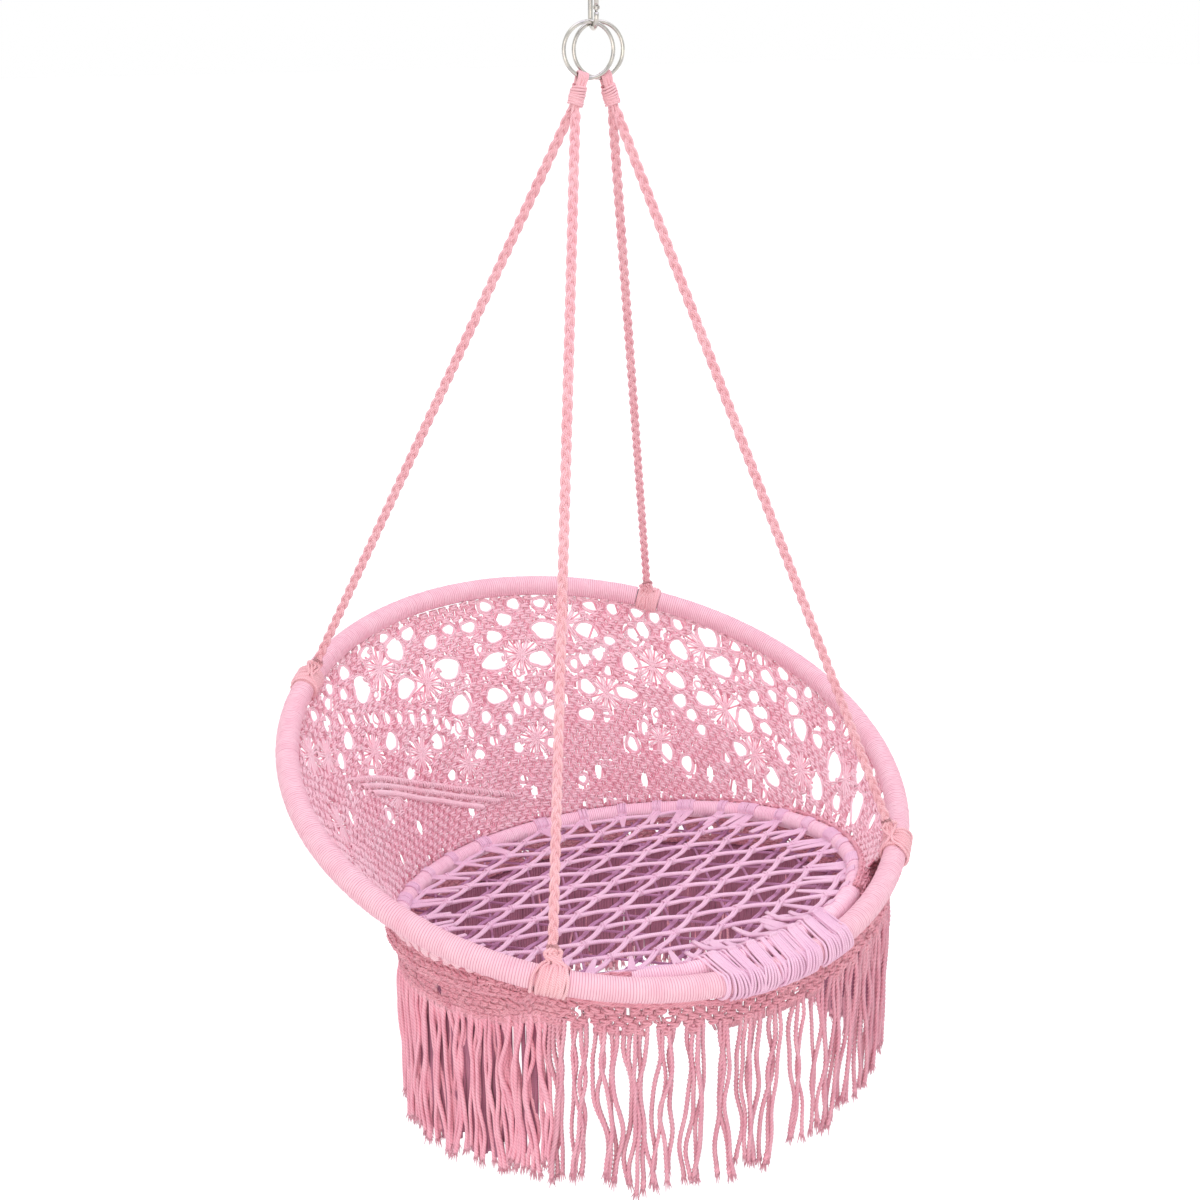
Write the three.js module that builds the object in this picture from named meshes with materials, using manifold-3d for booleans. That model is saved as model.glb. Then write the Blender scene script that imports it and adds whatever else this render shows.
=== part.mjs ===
import * as THREE from 'three';
import { mergeVertices, mergeGeometries } from 'three/addons/utils/BufferGeometryUtils.js';
import Module from 'manifold-3d';

// Hammock chair of knotted cotton cord: a snap hook, two rings, four braided ropes, a large steel
// hoop for the back, a smaller one for the seat, knotted nets between them and a fringe.
// Units are millimetres. The front of the chair is -Y and up is +Z.
// The origin is where an eye bears on the inside of the snap hook's top bend.

// Snap hook
const hookWireRadius = 2.7;
const hookBendRadius = 12;
const hookHeight = 54;
const hookTurn = THREE.MathUtils.degToRad(-19);
const noseDrop = 2;
const gatePivotHeight = 21;
const gateRadius = 2.6;
const gateEndGap = 0.5;
const gateTailLength = 3;
const lugThickness = 1.8;
const lugWidth = 4.6;
const lugRoot = 5;
const tongueLength = 4;
const slotClearance = 0.25;
const rivetRadius = 1;
const rivetHeadRadius = 1.8;
const rivetHeadHeight = 0.9;
const rivetClearance = 0.1;
const springBoreRadius = 1.6;
const springWireRadius = 0.3;
const springCoilRadius = 0.95;
const springPitch = 1.2;
const springCurls = 4;
const plungerRadius = 1.2;
const plungerLength = 4;
const innerGap = 0.35;

// Rings
const ringRadius = 28.8;
const ringWireRadius = 2.2;
const ringSeatGap = 0.4;
const ringSpacing = 6.6;
const ringLean = THREE.MathUtils.degToRad(16.9);

// Rope heads: the cords folded over each ring, and the cord whipped round them
const headGap = 1.2;
const headHalfWidth = 6.4;
const headHalfDepth = 1.5;
const headNeckLength = 13;
const headWaistHalfWidth = 4.6;
const headWaistHalfDepth = 2.9;
const headLegGap = 0.5;
const whipLength = 18.5;
const whipCordRadius = 1.3;
const whipGap = 0.5;
const whipTurns = 5;
const headTailLength = 13;

// Braided ropes
const ropeRadius = 5.8;
const ropeEndGap = 0.3;
const frontRopeAngle = THREE.MathUtils.degToRad(40.9);
const backRopeAngle = THREE.MathUtils.degToRad(135.3);

// Hoops: steel tubes with a cord wrapped round them
const hoopRadius = 387.5;
const hoopTubeRadius = 11;
const hoopWrap = 2.9;
const hoopDrop = 868;
const hoopForward = 0.2;
const hoopTilt = THREE.MathUtils.degToRad(16.3);
const seatRadius = 290;
const seatTubeRadius = 9;
const seatWrap = 2.6;
const seatTilt = THREE.MathUtils.degToRad(-11.3);
const seatRise = THREE.MathUtils.degToRad(20);
const hoopTubeWall = 1.5;
const seatTubeWall = 1;
const wrapGap = 0.3;
const hoopGap = 0.5;
const tubeSlit = 0.6;

// Rope hitches on the large hoop
const hitchHalfLength = 17;
const hitchWall = 4.5;
const hitchNeckLength = 38;
const hitchGap = 0.3;

// Lashing that binds the two hoops at the front
const lashingHalfLength = 92;
const lashingTurns = 20;
const lashingCordRadius = 2.6;
const lashingGap = 1.4;

// Back net between the hoops
const netThickness = 7.5;
const netGap = 0.8;
const netSeam = 0.6;
const netColumns = 8;
const netLevelShares = [0, 0.22, 0.44, 0.62, 1];
const netHoleShares = [0.62, 0.66, 0.6, 0];

// Seat net
const seatNetThickness = 5;
const seatNetCord = 6;
const seatNetGap = 0.4;
const seatNetLong = 92.8;
const seatNetShort = 55.6;
const seatNetRim = 4;

// Hem and fringe under the hoops
const hemThickness = 6;
const hemGap = 0.5;
const hemDrop = 58;
const hemLashedAngle = THREE.MathUtils.degToRad(17);
const hemFrontAngle = THREE.MathUtils.degToRad(30);
const hemSideAngle = THREE.MathUtils.degToRad(66);
const fringeGap = 0.4;
const fringeSlice = 6;
const fringeLength = 208;
const fringeStrandDepth = 3.4;
const fringeStrandWidth = 8;
const fringeStrands = 18;
const fringeSway = 7;
const fringeUneven = 16;
const fringeSeam = 0.6;

// Facets
const hoopStep = THREE.MathUtils.degToRad(8.2);
const seatStep = THREE.MathUtils.degToRad(9);
const hemStep = THREE.MathUtils.degToRad(7.5);
const hoopSides = 8;
const overrun = 1;

const wasm = await Module();
wasm.setup();

const steel = new THREE.MeshStandardMaterial({ color: '#d4d2d6', roughness: 0.2, metalness: 1 });
const tubeSteel = new THREE.MeshStandardMaterial({ color: '#8a8c90', roughness: 0.45, metalness: 1 });
const paleCotton = new THREE.MeshStandardMaterial({ color: '#f0bede', roughness: 0.95, metalness: 0 });
const pinkCotton = new THREE.MeshStandardMaterial({ color: '#f2a9b4', roughness: 0.95, metalness: 0 });

const X = new THREE.Vector3(1, 0, 0);
const Y = new THREE.Vector3(0, 1, 0);
const Z = new THREE.Vector3(0, 0, 1);

const chair = new THREE.Group();

function addMesh(parent, name, geometry, material) {
  const mesh = new THREE.Mesh(geometry, material);
  mesh.name = name;
  parent.add(mesh);
  return mesh;
}

// Point helpers
function sum(...vectors) {
  return vectors.reduce((total, vector) => total.add(vector), new THREE.Vector3());
}

function times(vector, factor) {
  return vector.clone().multiplyScalar(factor);
}

function direction(from, to) {
  return to.clone().sub(from).normalize();
}

function mix(from, to, share) {
  return from.clone().lerp(to, share);
}

function smooth(low, high, value) {
  return THREE.MathUtils.smoothstep(value, low, high);
}

// Closed solid through rings of points. Each ring has the same count and turns the same way.
function loft(rings, loop = false) {
  const count = rings[0].length;
  const positions = rings.flatMap((ring) => ring.flatMap((point) => point.toArray()));
  const indices = [];
  const spans = loop ? rings.length : rings.length - 1;
  for (let i = 0; i < spans; i += 1) {
    const near = i * count;
    const far = ((i + 1) % rings.length) * count;
    for (let j = 0; j < count; j += 1) {
      const k = (j + 1) % count;
      indices.push(near + j, near + k, far + j);
      indices.push(near + k, far + k, far + j);
    }
  }
  if (!loop) {
    const last = (rings.length - 1) * count;
    for (let j = 1; j < count - 1; j += 1) {
      indices.push(0, j + 1, j);
      indices.push(last, last + j, last + j + 1);
    }
  }
  const geometry = new THREE.BufferGeometry();
  geometry.setAttribute('position', new THREE.Float32BufferAttribute(positions, 3));
  geometry.setIndex(indices);
  return geometry;
}

// Ring of points round a centre, in the plane of two axes, counter-clockwise about across x up
function section(centre, across, up, halfWidth, halfHeight, sides, phase = 0) {
  const points = [];
  for (let j = 0; j < sides; j += 1) {
    const turn = phase + (j / sides) * 2 * Math.PI;
    const point = sum(centre, times(across, halfWidth * Math.cos(turn)), times(up, halfHeight * Math.sin(turn)));
    points.push(point);
  }
  return points;
}

// Tube along stations { at, wide, deep }; across gives the side axis at each station.
function sweep(stations, across, sides, loop = false) {
  const count = stations.length;
  const rings = stations.map((station, i) => {
    const before = stations[loop ? (i + count - 1) % count : Math.max(i - 1, 0)].at;
    const after = stations[loop ? (i + 1) % count : Math.min(i + 1, count - 1)].at;
    const along = direction(before, after);
    const side = across(station, i).clone();
    side.sub(times(along, side.dot(along))).normalize();
    const up = new THREE.Vector3().crossVectors(along, side);
    return section(station.at, side, up, station.wide, station.deep, sides, Math.PI / sides);
  });
  return loft(rings, loop);
}

// Solids for joining and cutting
function toSolid(geometry) {
  const bare = geometry.clone();
  bare.deleteAttribute('normal');
  bare.deleteAttribute('uv');
  const merged = mergeVertices(bare);
  const vertProperties = new Float32Array(merged.attributes.position.array);
  const triVerts = new Uint32Array(merged.index.array);
  return new wasm.Manifold(new wasm.Mesh({ numProp: 3, vertProperties, triVerts }));
}

function toGeometry(solid) {
  const mesh = solid.getMesh();
  const geometry = new THREE.BufferGeometry();
  geometry.setAttribute('position', new THREE.Float32BufferAttribute(mesh.vertProperties, mesh.numProp));
  geometry.setIndex(Array.from(mesh.triVerts));
  return geometry;
}

function box(width, depth, height, x, y, z) {
  return new THREE.BoxGeometry(width, depth, height).translate(x, y, z);
}

function pinAlongX(radius, length, y, z, sides) {
  return new THREE.CylinderGeometry(radius, radius, length, sides).rotateZ(Math.PI / 2).translate(0, y, z);
}

// Least distance between points of one line that lie more than half a turn apart, less its thickness
function leastGap(points, perTurn, thickness) {
  let least = Infinity;
  points.forEach((point, i) => {
    for (let j = i + Math.floor(perTurn / 2); j < points.length; j += 1) {
      least = Math.min(least, point.distanceTo(points[j]));
    }
  });
  return least - thickness;
}

// Snap hook: one bent wire with a lug for the gate's rivet and a tongue for the gate's slot
const hookTop = hookWireRadius;
const hookBottom = hookTop - hookHeight;
const pivotZ = hookBottom + gatePivotHeight;
const noseZ = hookTop - hookBendRadius - noseDrop;
const lugFoot = pivotZ - lugRoot;

function hookWirePoints() {
  const points = [new THREE.Vector3(0, -hookBendRadius, lugFoot)];
  const low = hookBottom + hookBendRadius;
  const high = hookTop - hookBendRadius;
  const steps = 8;
  for (let i = 0; i <= steps; i += 1) {
    const turn = Math.PI * (i / steps);
    points.push(new THREE.Vector3(0, -hookBendRadius * Math.cos(turn), low - hookBendRadius * Math.sin(turn)));
  }
  for (let i = 0; i <= steps; i += 1) {
    const turn = Math.PI * (i / steps);
    points.push(new THREE.Vector3(0, hookBendRadius * Math.cos(turn), high + hookBendRadius * Math.sin(turn)));
  }
  points.push(new THREE.Vector3(0, -hookBendRadius, noseZ));
  return points;
}

function snapHookBody() {
  const stations = hookWirePoints().map((at) => ({ at, wide: hookWireRadius, deep: hookWireRadius }));
  const wire = toSolid(sweep(stations, () => X, hoopSides));
  const lugHeight = pivotZ - lugFoot + overrun;
  const lugMiddle = (pivotZ + lugFoot - overrun) / 2;
  const lug = toSolid(box(lugThickness, lugWidth, lugHeight, 0, -hookBendRadius, lugMiddle));
  const lugEye = toSolid(pinAlongX(lugWidth / 2, lugThickness, -hookBendRadius, pivotZ, 12));
  const tongueHeight = tongueLength + overrun;
  const tongueMiddle = noseZ + overrun - tongueHeight / 2;
  const tongue = toSolid(box(lugThickness, lugWidth, tongueHeight, 0, -hookBendRadius, tongueMiddle));
  const hole = toSolid(pinAlongX(rivetRadius + rivetClearance, hookWireRadius * 2, -hookBendRadius, pivotZ, 10));
  return toGeometry(wire.add(lug).add(lugEye).add(tongue).subtract(hole));
}

// Rivet through the lug and the gate's two ears
function hookRivet() {
  const halfShank = gateRadius + rivetClearance;
  const halfLength = halfShank + rivetHeadHeight;
  const profile = [
    new THREE.Vector2(0, -halfLength),
    new THREE.Vector2(rivetHeadRadius, -halfLength),
    new THREE.Vector2(rivetHeadRadius, -halfShank),
    new THREE.Vector2(rivetRadius, -halfShank),
    new THREE.Vector2(rivetRadius, halfShank),
    new THREE.Vector2(rivetHeadRadius, halfShank),
    new THREE.Vector2(rivetHeadRadius, halfLength),
    new THREE.Vector2(0, halfLength),
  ];
  return new THREE.LatheGeometry(profile, 10).rotateZ(Math.PI / 2).translate(0, -hookBendRadius, pivotZ);
}

// Gate: a rod with a slot at each end and a bore for its spring
const gateFoot = pivotZ - gateTailLength;
const gateTop = noseZ - gateEndGap;
const lowSlotTop = pivotZ + lugWidth / 2 + slotClearance;
const highSlotFoot = noseZ - tongueLength - slotClearance * 2;
const slotWidth = lugThickness + slotClearance * 2;
const springLength = springCurls * springPitch;
const plungerFoot = lowSlotTop + innerGap;
const springFoot = plungerFoot + plungerLength + innerGap;
const boreTop = springFoot + springLength + springWireRadius * 2 + innerGap;

function hookGate() {
  const length = gateTop - gateFoot;
  const rod = new THREE.CylinderGeometry(gateRadius, gateRadius, length, 12).rotateX(Math.PI / 2);
  rod.translate(0, -hookBendRadius, (gateTop + gateFoot) / 2);
  const lowHeight = lowSlotTop - gateFoot + overrun;
  const lowSlot = box(slotWidth, gateRadius * 3, lowHeight, 0, -hookBendRadius, lowSlotTop - lowHeight / 2);
  const highHeight = gateTop - highSlotFoot + overrun;
  const highSlot = box(slotWidth, gateRadius * 3, highHeight, 0, -hookBendRadius, highSlotFoot + highHeight / 2);
  const boreHeight = boreTop - lowSlotTop + overrun;
  const bore = new THREE.CylinderGeometry(springBoreRadius, springBoreRadius, boreHeight, 10).rotateX(Math.PI / 2);
  bore.translate(0, -hookBendRadius, boreTop - boreHeight / 2);
  const hole = pinAlongX(rivetRadius + rivetClearance, gateRadius * 3, -hookBendRadius, pivotZ, 10);
  const cuts = toSolid(lowSlot).add(toSolid(highSlot)).add(toSolid(bore)).add(toSolid(hole));
  return toGeometry(toSolid(rod).subtract(cuts));
}

function gatePlunger() {
  const plunger = new THREE.CylinderGeometry(plungerRadius, plungerRadius, plungerLength, 8).rotateX(Math.PI / 2);
  return plunger.translate(0, -hookBendRadius, plungerFoot + plungerLength / 2);
}

function gateSpring() {
  const perCurl = 7;
  const stations = [];
  for (let i = 0; i <= springCurls * perCurl; i += 1) {
    const turn = (i / perCurl) * 2 * Math.PI;
    const height = springFoot + springWireRadius + (i / perCurl) * springPitch;
    const x = springCoilRadius * Math.cos(turn);
    const y = springCoilRadius * Math.sin(turn) - hookBendRadius;
    stations.push({ at: new THREE.Vector3(x, y, height), wide: springWireRadius, deep: springWireRadius });
  }
  const gap = leastGap(stations.map((station) => station.at), perCurl, springWireRadius * 2);
  console.log(`gate spring: least gap to itself ${gap.toFixed(2)} mm`);
  return sweep(stations, () => Z, 4);
}

const hook = new THREE.Group();
hook.rotation.z = hookTurn;
chair.add(hook);
addMesh(hook, 'snap_hook_body', snapHookBody(), steel);
addMesh(hook, 'snap_hook_rivet', hookRivet(), steel);
addMesh(hook, 'snap_hook_gate', hookGate(), steel);
addMesh(hook, 'gate_plunger', gatePlunger(), tubeSteel);
addMesh(hook, 'gate_spring', gateSpring(), tubeSteel);

// Rings. side is -1 on the left and +1 on the right. Both hang on the hook's bottom bend, one in
// front of the other, and lean outwards so that their lowest points lie on one line along X.
const ringSeat = hookWireRadius + ringWireRadius + ringSeatGap;
const ringReach = ringRadius * 2 - ringSeat;
const ringTurn = Math.asin(ringSpacing / 2 / (ringReach * Math.sin(ringLean)));
const ringNormal = new THREE.Vector3(Math.sin(ringTurn), Math.cos(ringTurn), 0);

function ringFrame(side) {
  const ahead = (side * ringSpacing) / 2 / Math.cos(hookTurn);
  const wireX = -ahead * Math.sin(hookTurn);
  const rise = hookBendRadius - Math.sqrt(hookBendRadius ** 2 - ahead ** 2);
  const wire = new THREE.Vector3(wireX, (side * ringSpacing) / 2, hookBottom + rise);
  const pull = new THREE.Vector3(side * Math.sin(ringLean), 0, -Math.cos(ringLean));
  pull.sub(times(ringNormal, pull.dot(ringNormal))).normalize();
  const top = sum(wire, times(pull, -ringSeat));
  const centre = sum(top, times(pull, ringRadius));
  const bottom = sum(top, times(pull, ringRadius * 2));
  const along = new THREE.Vector3().crossVectors(ringNormal, pull).normalize();
  return { side, pull, centre, bottom, along };
}

const sides = [
  { name: 'left', frame: ringFrame(-1) },
  { name: 'right', frame: ringFrame(1) },
];

for (const { name, frame } of sides) {
  const torus = new THREE.TorusGeometry(ringRadius, ringWireRadius, 6, 24);
  const ring = addMesh(chair, `ring_${name}`, torus, steel);
  ring.quaternion.setFromUnitVectors(Z, ringNormal);
  ring.position.copy(frame.centre);
}

// Hoops. Angles run from the front, positive towards the right.
const hoopOuter = hoopTubeRadius + wrapGap + hoopWrap;
const seatOuter = seatTubeRadius + wrapGap + seatWrap;

function hoopPoint(hoop, angle) {
  const flat = new THREE.Vector3(hoop.radius * Math.sin(angle), -hoop.radius * Math.cos(angle), 0);
  return flat.applyAxisAngle(X, hoop.tilt).add(hoop.centre);
}

const bigHoop = {
  radius: hoopRadius,
  tilt: hoopTilt,
  centre: new THREE.Vector3(0, -hoopForward, hookBottom - hoopDrop),
};
const frontOffset = hoopOuter + seatOuter + hoopGap;
const seatFront = sum(
  hoopPoint(bigHoop, 0),
  times(Y, frontOffset * Math.cos(seatRise)),
  times(Z, frontOffset * Math.sin(seatRise)),
);
const seatArm = new THREE.Vector3(0, seatRadius, 0).applyAxisAngle(X, seatTilt);
const seatHoop = { radius: seatRadius, tilt: seatTilt, centre: sum(seatFront, seatArm) };

function hoopGroup(hoop) {
  const group = new THREE.Group();
  group.position.copy(hoop.centre);
  group.rotation.x = hoop.tilt;
  chair.add(group);
  return group;
}

// Ring of points round a hoop's line, in the hoop's own plane frame
function tubeRing(radius, angle, tubeRadius, sideCount) {
  const outward = new THREE.Vector3(Math.sin(angle), -Math.cos(angle), 0);
  return section(times(outward, radius), outward, Z, tubeRadius, tubeRadius, sideCount, Math.PI / sideCount);
}

// Angles from one end to the other in even steps
function spread(from, to, step) {
  const count = Math.max(1, Math.ceil((to - from) / step - 1e-6));
  return Array.from({ length: count + 1 }, (_, i) => from + ((to - from) * i) / count);
}

function arcTube(radius, tubeRadius, angles, sideCount) {
  return loft(angles.map((angle) => tubeRing(radius, angle, tubeRadius, sideCount)).map((ring) => ring.reverse()));
}

// Sleeve: a tube wall along an arc, open at both ends
function sleeve(radius, innerRadius, outerRadius, angles) {
  const count = hoopSides;
  const positions = [];
  const indices = [];
  angles.forEach((angle) => {
    const outer = tubeRing(radius, angle, outerRadius, count);
    const inner = tubeRing(radius, angle, innerRadius, count);
    [...outer, ...inner].forEach((point) => positions.push(...point.toArray()));
  });
  const quad = (a, b, c, d) => indices.push(a, b, c, a, c, d);
  for (let j = 0; j < count; j += 1) {
    const k = (j + 1) % count;
    for (let i = 0; i < angles.length - 1; i += 1) {
      const near = i * count * 2;
      const far = near + count * 2;
      quad(near + j, far + j, far + k, near + k);
      quad(near + count + j, near + count + k, far + count + k, far + count + j);
    }
    const last = (angles.length - 1) * count * 2;
    quad(j, k, count + k, count + j);
    quad(last + j, last + count + j, last + count + k, last + k);
  }
  const geometry = new THREE.BufferGeometry();
  geometry.setAttribute('position', new THREE.Float32BufferAttribute(positions, 3));
  geometry.setIndex(indices);
  return geometry;
}

// Large hoop: hitch places split the wrapped cord into four lengths
const fullTurn = Math.PI * 2;
const ropePlaces = [
  { name: 'front_right', side: 1, angle: frontRopeAngle, front: true },
  { name: 'back_right', side: 1, angle: backRopeAngle, front: false },
  { name: 'back_left', side: -1, angle: fullTurn - backRopeAngle, front: false },
  { name: 'front_left', side: -1, angle: fullTurn - frontRopeAngle, front: true },
];
const hitchHalfAngle = hitchHalfLength / hoopRadius;
const hitchGapAngle = hitchGap / hoopRadius;
const wrapNames = ['right', 'back', 'left', 'front'];
const slitHalfAngle = tubeSlit / 2 / hoopRadius;
const wrapEnd = hitchHalfAngle + hitchGapAngle;

function wrapSpan(index) {
  const from = ropePlaces[index].angle + wrapEnd;
  const to = ropePlaces[index + 1].angle - wrapEnd;
  return spread(from, to, hoopStep);
}

const bigGroup = hoopGroup(bigHoop);
const frontRightSpan = spread(slitHalfAngle, ropePlaces[0].angle - wrapEnd, hoopStep);
const frontLeftSpan = frontRightSpan.map((angle) => -angle).reverse();
const sideSpans = [wrapSpan(0), wrapSpan(1), wrapSpan(2)];
const wrapSpans = [...sideSpans, [...frontLeftSpan, ...frontRightSpan]];
const endSpan = frontLeftSpan.map((angle) => angle + fullTurn);
const tubeAngles = [...frontRightSpan, ...sideSpans.flat(), ...endSpan];
const hoopTube = sleeve(hoopRadius, hoopTubeRadius - hoopTubeWall, hoopTubeRadius, tubeAngles);
addMesh(bigGroup, 'back_hoop_tube', hoopTube, tubeSteel);
wrapNames.forEach((name, index) => {
  const geometry = sleeve(hoopRadius, hoopTubeRadius + wrapGap, hoopOuter, wrapSpans[index]);
  addMesh(bigGroup, `back_hoop_wrap_${name}`, geometry, paleCotton);
});

// Seat hoop: its tube and its wrapped cord both close at the front, under the lashing
const seatGroup = hoopGroup(seatHoop);
const seatSlit = tubeSlit / 2 / seatRadius;
const seatAngles = spread(seatSlit, fullTurn - seatSlit, seatStep);
const seatTube = sleeve(seatRadius, seatTubeRadius - seatTubeWall, seatTubeRadius, seatAngles);
addMesh(seatGroup, 'seat_hoop_tube', seatTube, tubeSteel);
const seatWrapGeometry = sleeve(seatRadius, seatTubeRadius + wrapGap, seatOuter, seatAngles);
addMesh(seatGroup, 'seat_hoop_wrap', seatWrapGeometry, paleCotton);

// Rope heads: the cords go up the front of the ring's wire, over it and down the back
const headBend = ringWireRadius + headGap + headHalfDepth;
const legOffset = headWaistHalfDepth + headLegGap / 2;
const headWhipEnd = headNeckLength + whipLength;

function ropeStart(frame, back) {
  const across = times(ringNormal, back * legOffset);
  return sum(frame.bottom, times(frame.pull, headWhipEnd), across);
}

function ropeDirection(frame, back, place) {
  return direction(ropeStart(frame, back), hoopPoint(bigHoop, place.angle));
}

function placeOf(side, front) {
  return ropePlaces.find((place) => place.side === side && place.front === front);
}

function headLeg(frame, back) {
  const start = ropeStart(frame, back);
  const lead = ropeDirection(frame, back, placeOf(frame.side, back < 0));
  const neck = sum(frame.bottom, times(frame.pull, headNeckLength), times(ringNormal, back * legOffset));
  const shoulder = sum(frame.bottom, times(ringNormal, back * headBend));
  const end = sum(start, times(lead, headTailLength));
  const middle = sum(start, times(lead, headTailLength / 2));
  return [
    { at: shoulder, wide: headHalfWidth, deep: headHalfDepth },
    { at: mix(shoulder, neck, 0.5), wide: headHalfWidth, deep: headHalfDepth },
    { at: neck, wide: headWaistHalfWidth, deep: headWaistHalfDepth },
    { at: start, wide: headWaistHalfWidth, deep: headWaistHalfDepth },
    { at: middle, wide: mixNumber(headWaistHalfWidth, ropeRadius, 0.5), deep: headWaistHalfDepth },
    { at: end, wide: ropeRadius, deep: ropeRadius },
  ];
}

function mixNumber(low, high, share) {
  return low + (high - low) * share;
}

function ropeHead(frame) {
  const bend = [];
  const steps = 6;
  for (let i = 1; i < steps; i += 1) {
    const turn = Math.PI * (i / steps);
    const up = times(frame.pull, -headBend * Math.sin(turn));
    const over = times(ringNormal, -headBend * Math.cos(turn));
    bend.push({ at: sum(frame.bottom, up, over), wide: headHalfWidth, deep: headHalfDepth });
  }
  const stations = [...headLeg(frame, -1).reverse(), ...bend, ...headLeg(frame, 1)];
  return sweep(stations, () => frame.along, hoopSides);
}

// Whipping: one cord wound round both legs of a rope head
function whipping(frame) {
  const perTurn = 8;
  const radius = Math.max(legOffset + headWaistHalfDepth, headWaistHalfWidth) + whipGap + whipCordRadius;
  const run = whipLength - whipCordRadius * 2;
  const stations = [];
  for (let i = 0; i <= whipTurns * perTurn; i += 1) {
    const turn = (i / perTurn) * fullTurn;
    const depth = headNeckLength + whipCordRadius + (run * i) / (whipTurns * perTurn);
    const out = sum(times(frame.along, Math.cos(turn)), times(ringNormal, Math.sin(turn)));
    const at = sum(frame.bottom, times(frame.pull, depth), times(out, radius));
    stations.push({ at, out, wide: whipCordRadius, deep: whipCordRadius });
  }
  const gap = leastGap(stations.map((station) => station.at), perTurn, whipCordRadius * 2);
  console.log(`whipping: least gap to itself ${gap.toFixed(2)} mm`);
  return sweep(stations, (station) => station.out, 4);
}

for (const { name, frame } of sides) {
  addMesh(chair, `rope_head_${name}`, ropeHead(frame), pinkCotton);
  addMesh(chair, `whipping_${name}`, whipping(frame), pinkCotton);
}

// Hitches and ropes: each hitch is a sleeve on the hoop with a neck that rises to the rope
function hitchAndRope(place) {
  const { frame } = sides[place.side < 0 ? 0 : 1];
  const back = place.front ? -1 : 1;
  const foot = hoopPoint(bigHoop, place.angle);
  const start = ropeStart(frame, back);
  const down = ropeDirection(frame, back, place);
  const tangent = new THREE.Vector3(Math.cos(place.angle), Math.sin(place.angle), 0).applyAxisAngle(X, hoopTilt);
  const neckTop = sum(foot, times(down, -hitchNeckLength));
  const spans = spread(place.angle - hitchHalfAngle, place.angle + hitchHalfAngle, hoopStep);
  const cutSpans = [spans[0] - hitchHalfAngle, ...spans, spans[spans.length - 1] + hitchHalfAngle];
  const toWorld = new THREE.Matrix4().makeRotationX(hoopTilt).setPosition(bigHoop.centre);
  const outer = arcTube(hoopRadius, hoopOuter + hitchWall, spans, hoopSides).applyMatrix4(toWorld);
  const bore = arcTube(hoopRadius, hoopTubeRadius + wrapGap, cutSpans, hoopSides).applyMatrix4(toWorld);
  const neckStations = [
    { at: neckTop, wide: ropeRadius, deep: ropeRadius },
    { at: mix(neckTop, foot, 0.45), wide: ropeRadius * 1.3, deep: ropeRadius * 1.1 },
    { at: foot, wide: hitchHalfLength * 0.9, deep: hoopOuter },
  ];
  const neck = sweep(neckStations, () => tangent, hoopSides);
  const hitch = toGeometry(toSolid(outer).add(toSolid(neck)).subtract(toSolid(bore)));
  addMesh(chair, `hitch_${place.name}`, hitch, pinkCotton);
  const ropeStations = [
    { at: sum(start, times(down, headTailLength + ropeEndGap)), wide: ropeRadius, deep: ropeRadius },
    { at: sum(neckTop, times(down, -ropeEndGap)), wide: ropeRadius, deep: ropeRadius },
  ];
  const length = ropeStations[0].at.distanceTo(ropeStations[1].at);
  console.log(`rope_${place.name}: ${length.toFixed(0)} mm long`);
  addMesh(chair, `rope_${place.name}`, sweep(ropeStations, () => tangent, hoopSides), pinkCotton);
}

ropePlaces.forEach(hitchAndRope);

// Lashing: a cord wound round both hoops where they meet at the front
function frontLashing() {
  const perTurn = 10;
  const stations = [];
  const reach = lashingHalfLength / hoopRadius;
  const count = lashingTurns * perTurn;
  for (let i = 0; i <= count; i += 1) {
    const angle = mixNumber(-reach, reach, i / count);
    const big = hoopPoint(bigHoop, angle);
    const seatAngle = Math.asin((big.x / seatRadius));
    const seat = hoopPoint(seatHoop, seatAngle);
    const towards = direction(big, seat);
    const along = new THREE.Vector3(Math.cos(angle), Math.sin(angle), 0).applyAxisAngle(X, hoopTilt);
    const aside = new THREE.Vector3().crossVectors(along, towards).normalize();
    const turn = (i / perTurn) * fullTurn;
    const out = sum(times(towards, Math.cos(turn)), times(aside, Math.sin(turn)));
    const onSeat = Math.cos(turn) > (hoopOuter - seatOuter) / big.distanceTo(seat);
    const core = onSeat ? seat : big;
    const reachOut = (onSeat ? seatOuter : hoopOuter) + lashingGap + lashingCordRadius;
    stations.push({ at: sum(core, times(out, reachOut)), out, wide: lashingCordRadius, deep: lashingCordRadius });
  }
  const gap = leastGap(stations.map((station) => station.at), perTurn, lashingCordRadius * 2);
  console.log(`front lashing: least gap to itself ${gap.toFixed(2)} mm`);
  return sweep(stations, (station) => station.out, 4);
}

addMesh(chair, 'front_lashing', frontLashing(), paleCotton);

// Back net: a wall of knotted cord between the hoops, with a gap in each cell of its open rows.
// Its upper edge dips under the back hitches.
function clearance(hoop, angle, towards, distance) {
  const tangent = new THREE.Vector3(Math.cos(angle), Math.sin(angle), 0).applyAxisAngle(X, hoop.tilt);
  return distance / Math.sqrt(1 - tangent.dot(towards) ** 2);
}

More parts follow.
